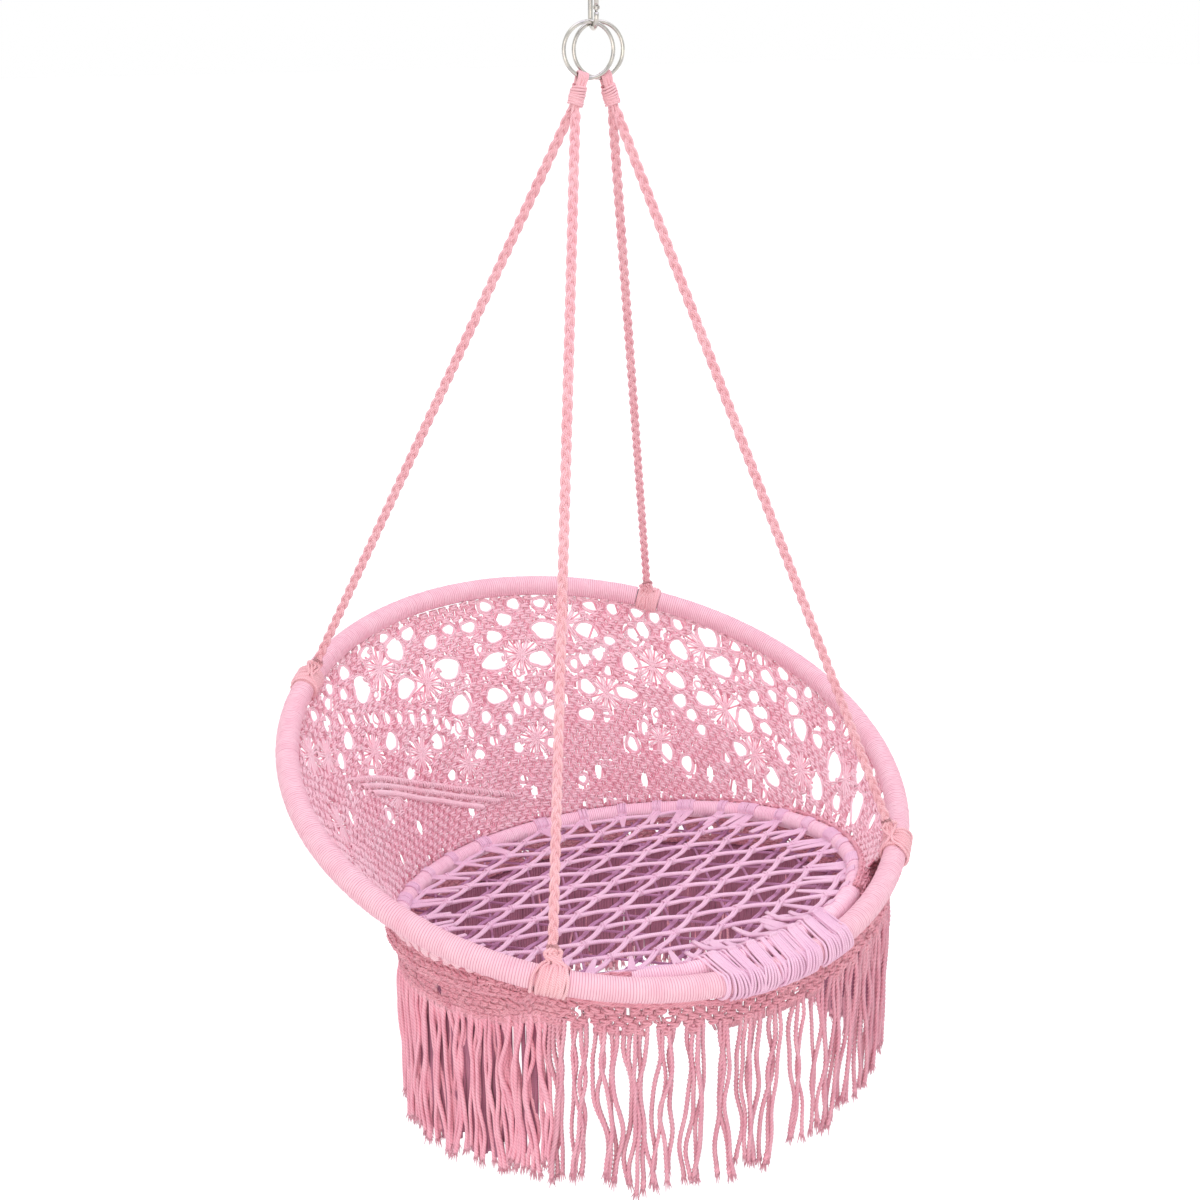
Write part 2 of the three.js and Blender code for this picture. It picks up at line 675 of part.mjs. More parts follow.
function netPoint(angle, share, lift) {
  const big = hoopPoint(bigHoop, angle);
  const seat = hoopPoint(seatHoop, angle);
  const down = direction(big, seat);
  const nearHitch = ropePlaces.some((place) => Math.abs(angle - place.angle) < hitchReach * 1.01);
  const topGap = hoopOuter + netGap + (nearHitch ? hitchWall : 0);
  const top = sum(big, times(down, clearance(bigHoop, angle, down, topGap)));
  const bottomGap = clearance(seatHoop, angle, down, seatOuter + netGap);
  const bottom = sum(seat, times(down, -bottomGap));
  const along = new THREE.Vector3(Math.cos(angle), Math.sin(angle), 0);
  const out = new THREE.Vector3().crossVectors(along, down).normalize();
  return sum(mix(top, bottom, share), times(out, lift * netThickness));
}

function netPanel(angles) {
  const positions = [];
  const indices = [];
  const rows = netLevelShares.length - 1;
  const columns = angles.length - 1;
  const addPoint = (angle, share, lift) => {
    positions.push(...netPoint(angle, share, lift).toArray());
    return positions.length / 3 - 1;
  };
  const grid = [0.5, -0.5].map((lift) =>
    netLevelShares.map((share) => angles.map((angle) => addPoint(angle, share, lift))),
  );
  const quad = (a, b, c, d) => indices.push(a, b, c, a, c, d);
  for (let r = 0; r < rows; r += 1) {
    for (let c = 0; c < columns; c += 1) {
      const corners = grid.map((face) => [face[r][c], face[r][c + 1], face[r + 1][c + 1], face[r + 1][c]]);
      if (netHoleShares[r] === 0) {
        quad(corners[0][0], corners[0][1], corners[0][2], corners[0][3]);
        quad(corners[1][0], corners[1][3], corners[1][2], corners[1][1]);
        continue;
      }
      const inset = netHoleShares[r] / 2;
      const middleAngle = (angles[c] + angles[c + 1]) / 2;
      const middleShare = (netLevelShares[r] + netLevelShares[r + 1]) / 2;
      const halfAngle = (angles[c + 1] - angles[c]) * inset;
      const halfShare = (netLevelShares[r + 1] - netLevelShares[r]) * inset;
      const holes = [0.5, -0.5].map((lift) => [
        addPoint(middleAngle - halfAngle, middleShare - halfShare, lift),
        addPoint(middleAngle + halfAngle, middleShare - halfShare, lift),
        addPoint(middleAngle + halfAngle, middleShare + halfShare, lift),
        addPoint(middleAngle - halfAngle, middleShare + halfShare, lift),
      ]);
      for (let k = 0; k < 4; k += 1) {
        const n = (k + 1) % 4;
        quad(corners[0][k], corners[0][n], holes[0][n], holes[0][k]);
        quad(corners[1][k], holes[1][k], holes[1][n], corners[1][n]);
        quad(holes[0][k], holes[0][n], holes[1][n], holes[1][k]);
      }
    }
  }
  const border = [];
  for (let c = 0; c < columns; c += 1) border.push([0, c, 0, c + 1]);
  for (let r = 0; r < rows; r += 1) border.push([r, columns, r + 1, columns]);
  for (let c = columns; c > 0; c -= 1) border.push([rows, c, rows, c - 1]);
  for (let r = rows; r > 0; r -= 1) border.push([r, 0, r - 1, 0]);
  for (const [r0, c0, r1, c1] of border) {
    quad(grid[1][r0][c0], grid[1][r1][c1], grid[0][r1][c1], grid[0][r0][c0]);
  }
  const geometry = new THREE.BufferGeometry();
  geometry.setAttribute('position', new THREE.Float32BufferAttribute(positions, 3));
  geometry.setIndex(indices);
  return geometry;
}

const hitchReach = hitchHalfAngle + netSeam / seatRadius;
const netStart = frontRopeAngle + hitchReach;
const netTurn = backRopeAngle - hitchReach;
const netStep = (netTurn - netStart) / netColumns;
const sideNet = spread(netStart, netTurn, netStep);
const middleFrom = netTurn + netSeam / seatRadius;
const middleInner = spread(backRopeAngle + hitchReach, fullTurn - backRopeAngle - hitchReach, netStep);
const middleNet = [middleFrom, ...middleInner, fullTurn - middleFrom];
addMesh(chair, 'back_net_right', netPanel(sideNet), pinkCotton);
addMesh(chair, 'back_net_middle', netPanel(middleNet), pinkCotton);
addMesh(chair, 'back_net_left', netPanel(sideNet.map((angle) => fullTurn - angle).reverse()), pinkCotton);

// Seat net: a disc of diamond meshes, longer across the chair than front to back
function seatNet() {
  const discRadius = seatRadius - seatOuter - seatNetGap;
  const facets = 48;
  const plate = new THREE.CylinderGeometry(discRadius, discRadius, seatNetThickness, facets).rotateX(Math.PI / 2);
  const inner = discRadius - seatNetRim;
  const height = seatNetThickness + overrun * 2;
  const window = new THREE.CylinderGeometry(inner, inner, height, facets).rotateX(Math.PI / 2);
  const halfLong = seatNetLong / 2;
  const halfShort = seatNetShort / 2;
  const slope = Math.hypot(halfLong, halfShort);
  const share = 1 - (seatNetCord * slope) / (seatNetLong * halfShort);
  const diamond = new THREE.Shape([
    new THREE.Vector2(halfLong * share, 0),
    new THREE.Vector2(0, halfShort * share),
    new THREE.Vector2(-halfLong * share, 0),
    new THREE.Vector2(0, -halfShort * share),
  ]);
  const holes = [];
  const reach = Math.ceil(discRadius / halfShort) + 1;
  for (let row = -reach; row <= reach; row += 1) {
    for (let column = -reach; column <= reach; column += 1) {
      if ((row + column) % 2 !== 0) continue;
      const x = column * halfLong;
      const y = row * halfShort;
      const near = Math.hypot(Math.max(Math.abs(x) - halfLong / 2, 0), Math.max(Math.abs(y) - halfShort / 2, 0));
      if (near > inner - seatNetCord * 2) continue;
      const hole = new THREE.ExtrudeGeometry(diamond, { depth: height, bevelEnabled: false });
      holes.push(hole.translate(x, y, -height / 2));
    }
  }
  const openings = toSolid(mergeGeometries(holes)).intersect(toSolid(window));
  const notchDepth = (lashingGap + lashingCordRadius) * 2;
  const notchReach = (lashingHalfLength + lashingCordRadius + notchDepth) / seatRadius;
  const notchAngles = spread(-notchReach, notchReach, hoopStep);
  const notch = arcTube(seatRadius, seatOuter + notchDepth, notchAngles, hoopSides);
  const disc = toSolid(plate).subtract(toSolid(notch));
  const rim = toSolid(arcTube(seatRadius, seatOuter + notchDepth + seatNetRim, notchAngles, hoopSides));
  return toGeometry(disc.subtract(openings.subtract(rim)));
}

addMesh(seatGroup, 'seat_net', seatNet(), paleCotton);

// Hem: a band under the hoops. It hangs from the large hoop at the front and the seat hoop behind.
function hemPlace(angle) {
  const turned = Math.abs(THREE.MathUtils.euclideanModulo(angle + Math.PI, fullTurn) - Math.PI);
  const share = smooth(hemFrontAngle, hemSideAngle, turned);
  const big = hoopPoint(bigHoop, angle);
  const seat = hoopPoint(seatHoop, angle);
  const point = mix(big, seat, share);
  const lashed = 1 - smooth(hemLashedAngle, hemFrontAngle, turned);
  const bigUnder = hoopOuter + hemGap + lashed * (lashingGap + lashingCordRadius * 2);
  const bigTop = point.z - bigUnder;
  const seatTop = seat.z - seatOuter - hemGap;
  const top = mixNumber(bigTop, seatTop, smooth(0.25, 0.5, share));
  return { point, top: point.z - top };
}

function hemRing(angle, topDrop, bottomDrop) {
  const { point, top } = hemPlace(angle);
  const out = new THREE.Vector3(Math.sin(angle), -Math.cos(angle), 0);
  const upper = topDrop === null ? top : topDrop;
  const corner = (across, drop) => sum(point, times(out, across * hemThickness), times(Z, -drop));
  return [corner(0.5, bottomDrop), corner(-0.5, bottomDrop), corner(-0.5, upper), corner(0.5, upper)];
}

function hemBand() {
  const count = Math.round(fullTurn / hemStep);
  const rings = [];
  for (let i = 0; i < count; i += 1) {
    rings.push(hemRing((i / count) * fullTurn, null, hemDrop));
  }
  return loft(rings, true);
}

addMesh(chair, 'hem_band', hemBand(), pinkCotton);

// Fringe: four lengths of strands, each hanging from its own slice of the hem's lower edge
function fringeStrand(angle, index) {
  const { point } = hemPlace(angle);
  const out = new THREE.Vector3(Math.sin(angle), -Math.cos(angle), 0);
  const along = new THREE.Vector3(Math.cos(angle), Math.sin(angle), 0);
  const top = hemDrop + fringeGap + fringeSlice / 2;
  const length = fringeLength - fringeUneven * (0.5 + 0.5 * Math.sin(index * 2.4));
  const sway = fringeSway * Math.sin(index * 1.7);
  const foot = sum(point, times(Z, -(top + length)), times(along, sway));
  const stations = [
    { at: sum(point, times(Z, -top)), wide: fringeStrandDepth * 0.8, deep: fringeStrandWidth * 0.7 },
    { at: foot, wide: fringeStrandDepth, deep: fringeStrandWidth },
  ];
  return sweep(stations, () => out, 3);
}

function fringe(from, to, first) {
  const seam = fringeSeam / 2 / seatRadius;
  const rings = spread(from + seam, to - seam, hemStep).map((angle) =>
    hemRing(angle, hemDrop + fringeGap, hemDrop + fringeGap + fringeSlice),
  );
  const strands = [];
  for (let i = 0; i < fringeStrands; i += 1) {
    const angle = mixNumber(from, to, (i + 0.5) / fringeStrands);
    strands.push(fringeStrand(angle, first + i));
  }
  return toGeometry(toSolid(loft(rings)).add(toSolid(mergeGeometries(strands))));
}

const fringeNames = ['right', 'back', 'left', 'front'];
fringeNames.forEach((name, index) => {
  const from = Math.PI / 4 + (Math.PI / 2) * index;
  const geometry = fringe(from, from + Math.PI / 2, index * fringeStrands);
  addMesh(chair, `fringe_${name}`, geometry, pinkCotton);
});

export default chair;
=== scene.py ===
# %% [markdown]
# # A hammock chair of knotted cotton cord
# A snap hook holds two rings. Four braided ropes run from the rings to a large wrapped hoop, and a
# smaller hoop carries the seat. Knotted nets join the hoops, and a fringe hangs below them.
# The CAD part gives the sizes and the joints. This file dresses it: every length of cord that shows
# is modelled as cord, because a cord chair is recognised by its knots and its twist.

# %% Load the frame
import bpy, math
import numpy as np
from mathutils import Matrix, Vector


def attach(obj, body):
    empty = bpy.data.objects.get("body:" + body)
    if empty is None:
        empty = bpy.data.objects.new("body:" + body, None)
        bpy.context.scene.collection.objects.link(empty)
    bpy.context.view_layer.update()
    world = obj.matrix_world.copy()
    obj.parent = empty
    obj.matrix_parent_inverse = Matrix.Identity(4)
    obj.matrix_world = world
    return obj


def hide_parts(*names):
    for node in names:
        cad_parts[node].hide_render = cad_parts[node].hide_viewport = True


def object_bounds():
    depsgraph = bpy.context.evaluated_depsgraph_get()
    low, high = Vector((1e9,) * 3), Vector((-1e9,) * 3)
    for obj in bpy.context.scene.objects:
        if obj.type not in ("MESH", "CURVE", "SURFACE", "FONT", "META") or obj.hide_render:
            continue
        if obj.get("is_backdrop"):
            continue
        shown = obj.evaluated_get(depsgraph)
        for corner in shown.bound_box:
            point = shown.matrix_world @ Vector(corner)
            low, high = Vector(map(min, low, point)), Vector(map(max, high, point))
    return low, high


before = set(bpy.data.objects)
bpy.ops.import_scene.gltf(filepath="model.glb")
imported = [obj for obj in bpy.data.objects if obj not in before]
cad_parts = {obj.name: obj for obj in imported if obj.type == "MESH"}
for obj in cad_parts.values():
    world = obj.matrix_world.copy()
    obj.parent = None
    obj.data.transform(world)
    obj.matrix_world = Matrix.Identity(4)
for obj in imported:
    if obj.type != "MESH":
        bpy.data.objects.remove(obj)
cad_box = [list(map(float, corner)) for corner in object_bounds()]
MM = 0.001
FULL_TURN = 2 * math.pi
print("CAD box, metres:", [[round(v, 3) for v in corner] for corner in cad_box])


def vec(*numbers):
    return np.array(numbers, float)


def unit(vectors):
    return vectors / np.maximum(np.linalg.norm(vectors, axis=-1, keepdims=True), 1e-12)


def blend_in(low, high, value):
    """0 below low, 1 above high and a smooth rise between them."""
    share = np.clip((np.asarray(value, float) - low) / (high - low), 0, 1)
    return share * share * (3 - 2 * share)


def circle_angles(count):
    """Angles of evenly spaced places on a circle."""
    return np.arange(count) / count * FULL_TURN


def add_object(name, data):
    """A new object in the scene."""
    thing = bpy.data.objects.new(name, data)
    bpy.context.scene.collection.objects.link(thing)
    return thing


def standing(place, sideways, upward, backward):
    """The matrix of an object at a place in metres, with its X, Y and Z in three directions."""
    turn = Matrix([[sideways[i], upward[i], backward[i]] for i in range(3)])
    return Matrix.Translation(place) @ turn.to_4x4()


# %% [markdown]
# ## The camera
# The camera's place, lens and turn come from matching the two hoops and the rings of the CAD part to
# their outlines in the photograph. It stands level with the hook and looks down at the chair's front
# from its left. The small shift is the part of the framing that a turn can't give.

# %% Camera
CAMERA_PLACE = vec(-1021.5, -1489.4, -48.8)
CAMERA_RIGHT = vec(0.8228, -0.5683, -0.0051)
CAMERA_UP = vec(0.2012, 0.2829, 0.9378)
PHOTO_SIZE = 1200
FOCAL_PIXELS = 1571.2
SENSOR_WIDTH = 36.0
FRAME_CENTRE = vec(598.9, 607.2)
NEAREST_SEEN = 0.05

right = unit(CAMERA_RIGHT)
up = unit(CAMERA_UP - right * (CAMERA_UP @ right))
camera = add_object("photo_camera", bpy.data.cameras.new("photo_camera"))
camera.matrix_world = standing(CAMERA_PLACE * MM, right, up, np.cross(right, up))
camera.data.sensor_width = SENSOR_WIDTH
camera.data.lens = FOCAL_PIXELS / PHOTO_SIZE * SENSOR_WIDTH
camera.data.shift_x = (PHOTO_SIZE / 2 - FRAME_CENTRE[0]) / PHOTO_SIZE
camera.data.shift_y = (FRAME_CENTRE[1] - PHOTO_SIZE / 2) / PHOTO_SIZE
camera.data.clip_start = NEAREST_SEEN
bpy.context.scene.camera = camera
print(f"lens {camera.data.lens:.1f} mm, shift {camera.data.shift_x:.4f}, {camera.data.shift_y:.4f}")

# %% [markdown]
# ## The chair's own lines
# Everything on the chair follows a few lines of the CAD part: the two hoops, the places where the
# ropes meet the large hoop, and the rings. They are repeated here in millimetres, since a scene can't
# read the part's source. Angles on a hoop run from its front, positive towards the chair's right.

# %% Hoops
HOOP = dict(radius=387.5, tilt=math.radians(16.3), centre=vec(0, -0.2, -919.3), outer=14.2)
SEAT = dict(radius=290.0, tilt=math.radians(-11.3), centre=vec(0, -62.75, -1075.785), outer=11.9)
FRONT_ROPE, BACK_ROPE = math.radians(40.9), math.radians(135.3)
Z_UP = vec(0, 0, 1)


def hoop_axes(hoop, angle):
    """Outward and forward directions of a hoop's line at an angle."""
    sin, cos = np.sin(np.asarray(angle, float)), np.cos(np.asarray(angle, float))
    level, rise = math.cos(hoop["tilt"]), math.sin(hoop["tilt"])
    out = np.stack([sin, -cos * level, -cos * rise], -1)
    along = np.stack([cos, sin * level, sin * rise], -1)
    return out, along


def hoop_point(hoop, angle):
    return hoop["centre"] + hoop["radius"] * hoop_axes(hoop, angle)[0]


def hoop_normal(hoop):
    return vec(0, -math.sin(hoop["tilt"]), math.cos(hoop["tilt"]))


wall = np.linalg.norm(hoop_point(HOOP, math.pi) - hoop_point(SEAT, math.pi))
print(f"the back is {wall:.0f} mm from hoop to hoop")

# %% [markdown]
# ## Colours and node helpers
# Colours are written as the hex values a person would pick from a colour chart, and one function
# turns them into the linear numbers that Blender mixes light with. One more function adds a node
# with its settings and links, and a few short ones name the nodes that every material here needs, so
# that a material reads as a list of what it is made of.


# %% Colour and node functions
def linear(code, alpha=1.0):
    """Linear RGBA from an sRGB hex value."""
    parts = [int(code[i : i + 2], 16) / 255 for i in (1, 3, 5)]
    low, slope, power, offset = 0.04045, 12.92, 2.4, 0.055
    return (*[p / slope if p <= low else ((p + offset) / (1 + offset)) ** power for p in parts], alpha)


def add_node(material, kind, links=None, **settings):
    """One node with its settings. links maps an input to a value or to an output socket."""
    node = material.node_tree.nodes.new(kind)
    for name, value in settings.items():
        setattr(node, name, value)
    for key, value in (links or {}).items():
        if isinstance(value, bpy.types.NodeSocket):
            material.node_tree.links.new(value, node.inputs[key])
        else:
            node.inputs[key].default_value = value
    return node


def maths(material, operation, *values):
    """The result of a calculation with one or two values or sockets."""
    return add_node(material, "ShaderNodeMath", dict(enumerate(values)), operation=operation).outputs[0]


def noise(material, size, detail):
    """Noise on the object itself, with patches of a size in millimetres."""
    where = add_node(material, "ShaderNodeTexCoord").outputs["Object"]
    links = {"Vector": where, "Scale": 1 / (size * MM), "Detail": detail}
    return add_node(material, "ShaderNodeTexNoise", links).outputs["Fac"]


def stretched(material, value, low, high, from_low=0.0, from_high=1.0):
    """A value that runs from from_low to from_high, made to run from low to high."""
    links = {"Value": value, "From Min": from_low, "From Max": from_high, "To Min": low, "To Max": high}
    return add_node(material, "ShaderNodeMapRange", links).outputs[0]


def colour_between(material, factor, first, second):
    links = {"Factor": factor, "A": first, "B": second}
    return add_node(material, "ShaderNodeMix", links, data_type="RGBA").outputs["Result"]


def bumps(material, height, strength, distance):
    """The surface's normal bent by heights, over a distance in millimetres."""
    links = {"Height": height, "Strength": strength, "Distance": distance * MM}
    return add_node(material, "ShaderNodeBump", links).outputs[0]


def seen_directly(material):
    """1 where the camera or a reflection looks, and 0 for the light that falls on things."""
    rays = add_node(material, "ShaderNodeLightPath").outputs
    seen = maths(material, "MAXIMUM", rays["Is Camera Ray"], rays["Is Glossy Ray"])
    return maths(material, "MAXIMUM", seen, rays["Is Transmission Ray"])


def new_material(name):
    material = bpy.data.materials.new(name)
    material.use_nodes = True
    material.node_tree.nodes.clear()
    return material


def finish_material(material, shader):
    add_node(material, "ShaderNodeOutputMaterial", {"Surface": shader.outputs[0]})
    return material


def dress_solids(names, material):
    """Solids of the CAD that stay as they are and take a material."""
    for name in names:
        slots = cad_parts[name].data.materials
        slots.clear()
        slots.append(material)


CORD_MAP = "cord"
print("a mid grey in linear light:", round(linear("#808080")[0], 3))

# %% [markdown]
# ## Cotton cord
# The chair is made of one soft cotton cord, twisted from three plies and dyed pink. Cotton has no
# gloss, only a faint bloom where loose fibres catch the light at the edges, so the shader is rough
# with a little sheen. The plies show as slanting lines along every cord, and the grooves between them
# are painted shade of a deeper colour. They are drawn along the cord's own length, which each mesh
# carries as a map in metres. A real fibre is 0.02 mm wide and can't show, so the fuzz is drawn at
# about a millimetre.

# %% Twisted cotton cord, piece dyed
FUZZ_SIZE, FUZZ_BUMP = 1.1, 0.5
SHEEN_TINT = "#ffe8ef"


def cotton(name, lit, mid, deep, ply_pitch=7.0, plies=3, ply_depth=0.35, mottle=38.0):
    """Cotton cord, with painted shade of the colour deep in the grooves between its plies. ply_pitch is
    the length of one turn of its twist and mottle the size of the uneven patches of dye, in millimetres."""
    material = new_material(name)
    on_cord = add_node(material, "ShaderNodeUVMap", uv_map=CORD_MAP).outputs["UV"]
    split = add_node(material, "ShaderNodeSeparateXYZ", {0: on_cord}).outputs
    turns = maths(material, "MULTIPLY", split["X"], plies / (ply_pitch * MM))
    slant = maths(material, "ADD", turns, maths(material, "MULTIPLY", split["Y"], float(plies)))
    wave = maths(material, "SINE", maths(material, "MULTIPLY", slant, math.pi))
    ply = maths(material, "ABSOLUTE", wave)
    fuzz = noise(material, FUZZ_SIZE, 2.0)
    dyed = stretched(material, noise(material, mottle, 3.0), 0.0, 1.0, 0.3, 0.7)
    base = colour_between(material, dyed, linear(mid), linear(lit))
    # painted shade: the colour goes over to deep in the grooves between the plies
    groove_shade = stretched(material, ply, 1 - ply_depth, 1.0, 0.0, 0.6)
    look = {
        "Base Color": colour_between(material, groove_shade, linear(deep), base),
        "Roughness": stretched(material, fuzz, 0.82, 1.0),
        "Normal": bumps(material, maths(material, "ADD", ply, fuzz), 0.5, FUZZ_BUMP),
        "Sheen Weight": 0.25,
        "Sheen Roughness": 0.45,
        "Sheen Tint": linear(SHEEN_TINT),
        "Specular IOR Level": 0.25,
    }
    return finish_material(material, add_node(material, "ShaderNodeBsdfPrincipled", look))


# a winding's map counts its turns, so the dark line of painted shade falls between one turn and the next
WOUND = dict(plies=1, ply_depth=0.85, mottle=22.0)
# a thick cord has a long slow twist
THICK = dict(ply_pitch=15.0, ply_depth=0.42, mottle=26.0)

# pink_cord: ropes, rope heads, whippings and hitches, where deep painted shade between the plies gives each
# cord its rope look
pink_cord = cotton("twisted_cotton_cord_pink", "#fbd3d6", "#f5c3c8", "#b8606f", ply_depth=0.6)
# pale_cord: the seat net and the front lashing, in painted light: a paler, cooler copy of the cord for the
# cool light from above
pale_cord = cotton("twisted_cotton_cord_pale_pink", "#f9d8ea", "#f1cae2", "#c284a8")
# wound_cord: the winding of the large hoop
wound_cord = cotton("wound_cotton_cord_pale_pink", "#f7d3dc", "#f3c5d1", "#c67a92", **WOUND)
# seat_wound_cord: the winding of the seat hoop, in painted light: a lighter copy of the wound cord that lifts
# it out of the shade of the net above it
seat_wound_cord = cotton("wound_cotton_cord_painted_light_pink", "#ffe0ec", "#fcd2e2", "#cf84a2", **WOUND)
# net_cord: the knots and cord pairs of the back net, in painted light: a paler copy of the cord that lifts
# them out of their own shade
net_cord = cotton("fine_twisted_cotton_cord_pink", "#ffe2e9", "#ffd4de", "#da7e93")
# filler_cord: the cords that the back net's knots are tied round, in painted shade: a deeper copy of the cord
# for the shade of the knots
filler_cord = cotton("fine_twisted_cotton_cord_shaded_rose", "#ffbccb", "#f9a9bb", "#b45a74")
# hem_cord: the knots and cord pairs of the hem, in painted shade: a deeper copy of the cord than the
# fringe's, for the shade under the hoops
hem_cord = cotton("thick_twisted_cotton_cord_pink", "#f2b9c3", "#e5a2b0", "#a04f66", **THICK)
# the cords that the hem's knots are tied round, in painted shade: a deeper copy of the hem's cord
shaded_filler_cord = cotton("fine_twisted_cotton_cord_shaded_pink", "#f0b6c1", "#e0a0ad", "#96526a")
# loose_cord: the fringe's outer cords
loose_cord = cotton("loose_twisted_cotton_cord_pink", "#fdc6d2", "#f3b0c0", "#ae5a74", **THICK)
# shaded_cord: the fringe's inner row, which the photograph shows as deep rose
shaded_cord = cotton("shaded_cotton_cord_deep_rose", "#c08299", "#a86e86", "#6e4256", ply_depth=0.5)
# mauve_cord: the seat's lower cords, in painted shade: cooler and deeper than those above them, whose shade
# they lie in
mauve_cord = cotton("shaded_cotton_cord_mauve", "#d8a4c8", "#c48cb4", "#86607c", ply_depth=0.45)
print("cotton materials:", [material.name for material in bpy.data.materials if "cotton" in material.name])

# %% [markdown]
# ## Steel
# The hook and rings are chromed steel: the plating is smooth, so it mirrors the pale room and the dark
# gaps, and only fine handling scratches soften it. The hoops' tubes are drawn steel under the cord and
# the spring is bright spring wire.

# %% Chromed, drawn and spring steel
SCRATCH_SIZE, SCRATCH_DEPTH = 0.4, 0.05


def steel(name, colour, dull, smoothest, roughest, grain, scratches):
    """Metal with a colour and streaks of a duller one, which on the chrome are painted reflections.
    grain is their size in millimetres.
    """
    material = new_material(name)
    marks_and_painted_reflections = noise(material, grain, 4.0)
    look = {
        "Base Color": colour_between(material, marks_and_painted_reflections, linear(colour), linear(dull)),
        "Metallic": 1.0,
        "Roughness": stretched(material, marks_and_painted_reflections, smoothest, roughest, 0.35, 0.7),
        "Normal": bumps(material, noise(material, SCRATCH_SIZE, 2.0), scratches, SCRATCH_DEPTH),
    }
    return finish_material(material, add_node(material, "ShaderNodeBsdfPrincipled", look))


# chromed_steel mirrors its surroundings with a hard bright line along each wire. Its warm whitish
# colour is a painted highlight, and its duller grey streaks are painted dark reflections
chromed_steel = steel("chrome_plated_steel", "#e4e0d2", "#84848c", 0.05, 0.16, 11.0, 0.12)
# drawn_steel: a tube that is dull and slightly blued by its mill scale
drawn_steel = steel("drawn_steel_tube", "#8d9095", "#6f7277", 0.35, 0.6, 9.0, 0.4)
# spring_steel: wire that is bright along its length
spring_steel = steel("bright_spring_steel", "#c9cacd", "#a5a6aa", 0.2, 0.35, 2.0, 0.2)
print("steel materials:", chromed_steel.name, drawn_steel.name, spring_steel.name)

# %% [markdown]
# ## Making cord
# A cord is a tube swept along points. Blender's curves could do it one by one, but the nets need
# thousands of short cords, so the points of many cords are swept together as arrays. Each ring of a
# tube keeps the side direction of the one before it, which stops the tube from twisting by itself,
# and the distance along the cord is stored as a map, because the twist of the plies is drawn with it.

# %% Cord maker
STEEP = 0.8
LOBE_DEPTH = 0.36


def cord_directions(paths, closed):
    """The way along every cord at each of its points."""
    if closed:
        return unit(np.roll(paths, -1, 1) - np.roll(paths, 1, 1))
    along = np.empty_like(paths)
    along[:, 1:-1] = paths[:, 2:] - paths[:, :-2]
    along[:, 0], along[:, -1] = paths[:, 1] - paths[:, 0], paths[:, -1] - paths[:, -2]
    return unit(along)


def cord_sides(along, side):
    """A direction across every cord at each of its points. side may be one for all cords, one for
    each cord or one for each point. With none, it is chosen by how steeply a cord starts."""
    count, points, _ = along.shape
    if side is None:
        steep = np.abs(along[:, 0, 2]) > STEEP
        side = np.where(steep[:, None], vec(1, 0, 0.02), vec(0.02, 0.01, 1))
    side = np.asarray(side, float)
    for_each_point = side.ndim == 3
    now = side[:, 0] if for_each_point else np.broadcast_to(side, (count, 3))
    across = np.empty_like(along)
    for i in range(points):
        now = side[:, i] if for_each_point else now
        now = unit(now - along[:, i] * np.sum(now * along[:, i], -1, keepdims=True))
        across[:, i] = now
    return across


def end_fan(count):
    """Triangles that fill a ring of corners."""
    return np.array([[0, j, j + 1] for j in range(1, count - 1)])


def sweep(paths, radius, sides=6, side=None, closed=False, lobes=0, lobe_pitch=1.0):
    """Tubes along paths (count, points, 3), in millimetres: vertices, quads, their map and the
    triangles of the ends. lobes twist that many plies into the outline."""
    paths = np.asarray(paths, float)
    paths = paths[None] if paths.ndim == 2 else paths
    count, points, _ = paths.shape
    along = cord_directions(paths, closed)
    across = cord_sides(along, side)
    upward = np.cross(along, across)
    ends = paths[:, :1] if closed else paths[:, -1:]
    steps = np.linalg.norm(np.diff(paths, axis=1, append=ends), axis=2)
    length = np.concatenate([np.zeros((count, 1)), np.cumsum(steps, 1)[:, :-1]], 1)
    theta = np.broadcast_to(circle_angles(sides), (count, points, sides))
    reach = np.broadcast_to(np.asarray(radius, float), (count, points))[..., None]
    if lobes:
        reach = reach * (1 - LOBE_DEPTH * (0.5 + 0.5 * np.cos(lobes * theta)))
        theta = theta + (length / lobe_pitch * FULL_TURN)[..., None]
    ring = np.cos(theta)[..., None] * across[:, :, None] + np.sin(theta)[..., None] * upward[:, :, None]
    vertices = paths[:, :, None] + reach[..., None] * ring
    index = np.arange(count * points * sides).reshape(count, points, sides)
    near, far = (index, np.roll(index, -1, 1)) if closed else (index[:, :-1], index[:, 1:])
    quads = np.stack([near, np.roll(near, -1, 2), np.roll(far, -1, 2), far], -1).reshape(-1, 4)
    spans = near.shape[1]
    low = np.broadcast_to(length[:, :spans, None], near.shape)
    high = low + steps[:, :spans, None]
    v = np.broadcast_to(np.arange(sides) / sides, near.shape)
    corners = [(low, v), (low, v + 1 / sides), (high, v + 1 / sides), (high, v)]
    maps = np.stack([np.stack(corner, -1) for corner in corners], -2).reshape(-1, 2)
    tris = np.zeros((0, 3), int)
    if not closed:
        fan = end_fan(sides)
        tris = np.concatenate([index[:, 0][:, fan[:, ::-1]], index[:, -1][:, fan]]).reshape(-1, 3)
    return vertices.reshape(-1, 3), quads, maps * vec(0 if lobes else MM, 1), tris


print("a cord's ply outline is cut in by", LOBE_DEPTH, "of its radius")

# %% [markdown]
# ## From cords to pieces
# Thousands of swept cords become one mesh by writing all their points and faces at once, which is far
# quicker than joining objects. A piece then rides on the body that it moves with and stands for its
# solids of the CAD part, so that these don't show.

# %% Pieces
def joined(parts, field):
    """One kind of faces of many parts, counted on from part to part."""
    starts = np.cumsum([0] + [len(part[0]) for part in parts])
    return np.concatenate([part[field] + start for part, start in zip(parts, starts)])


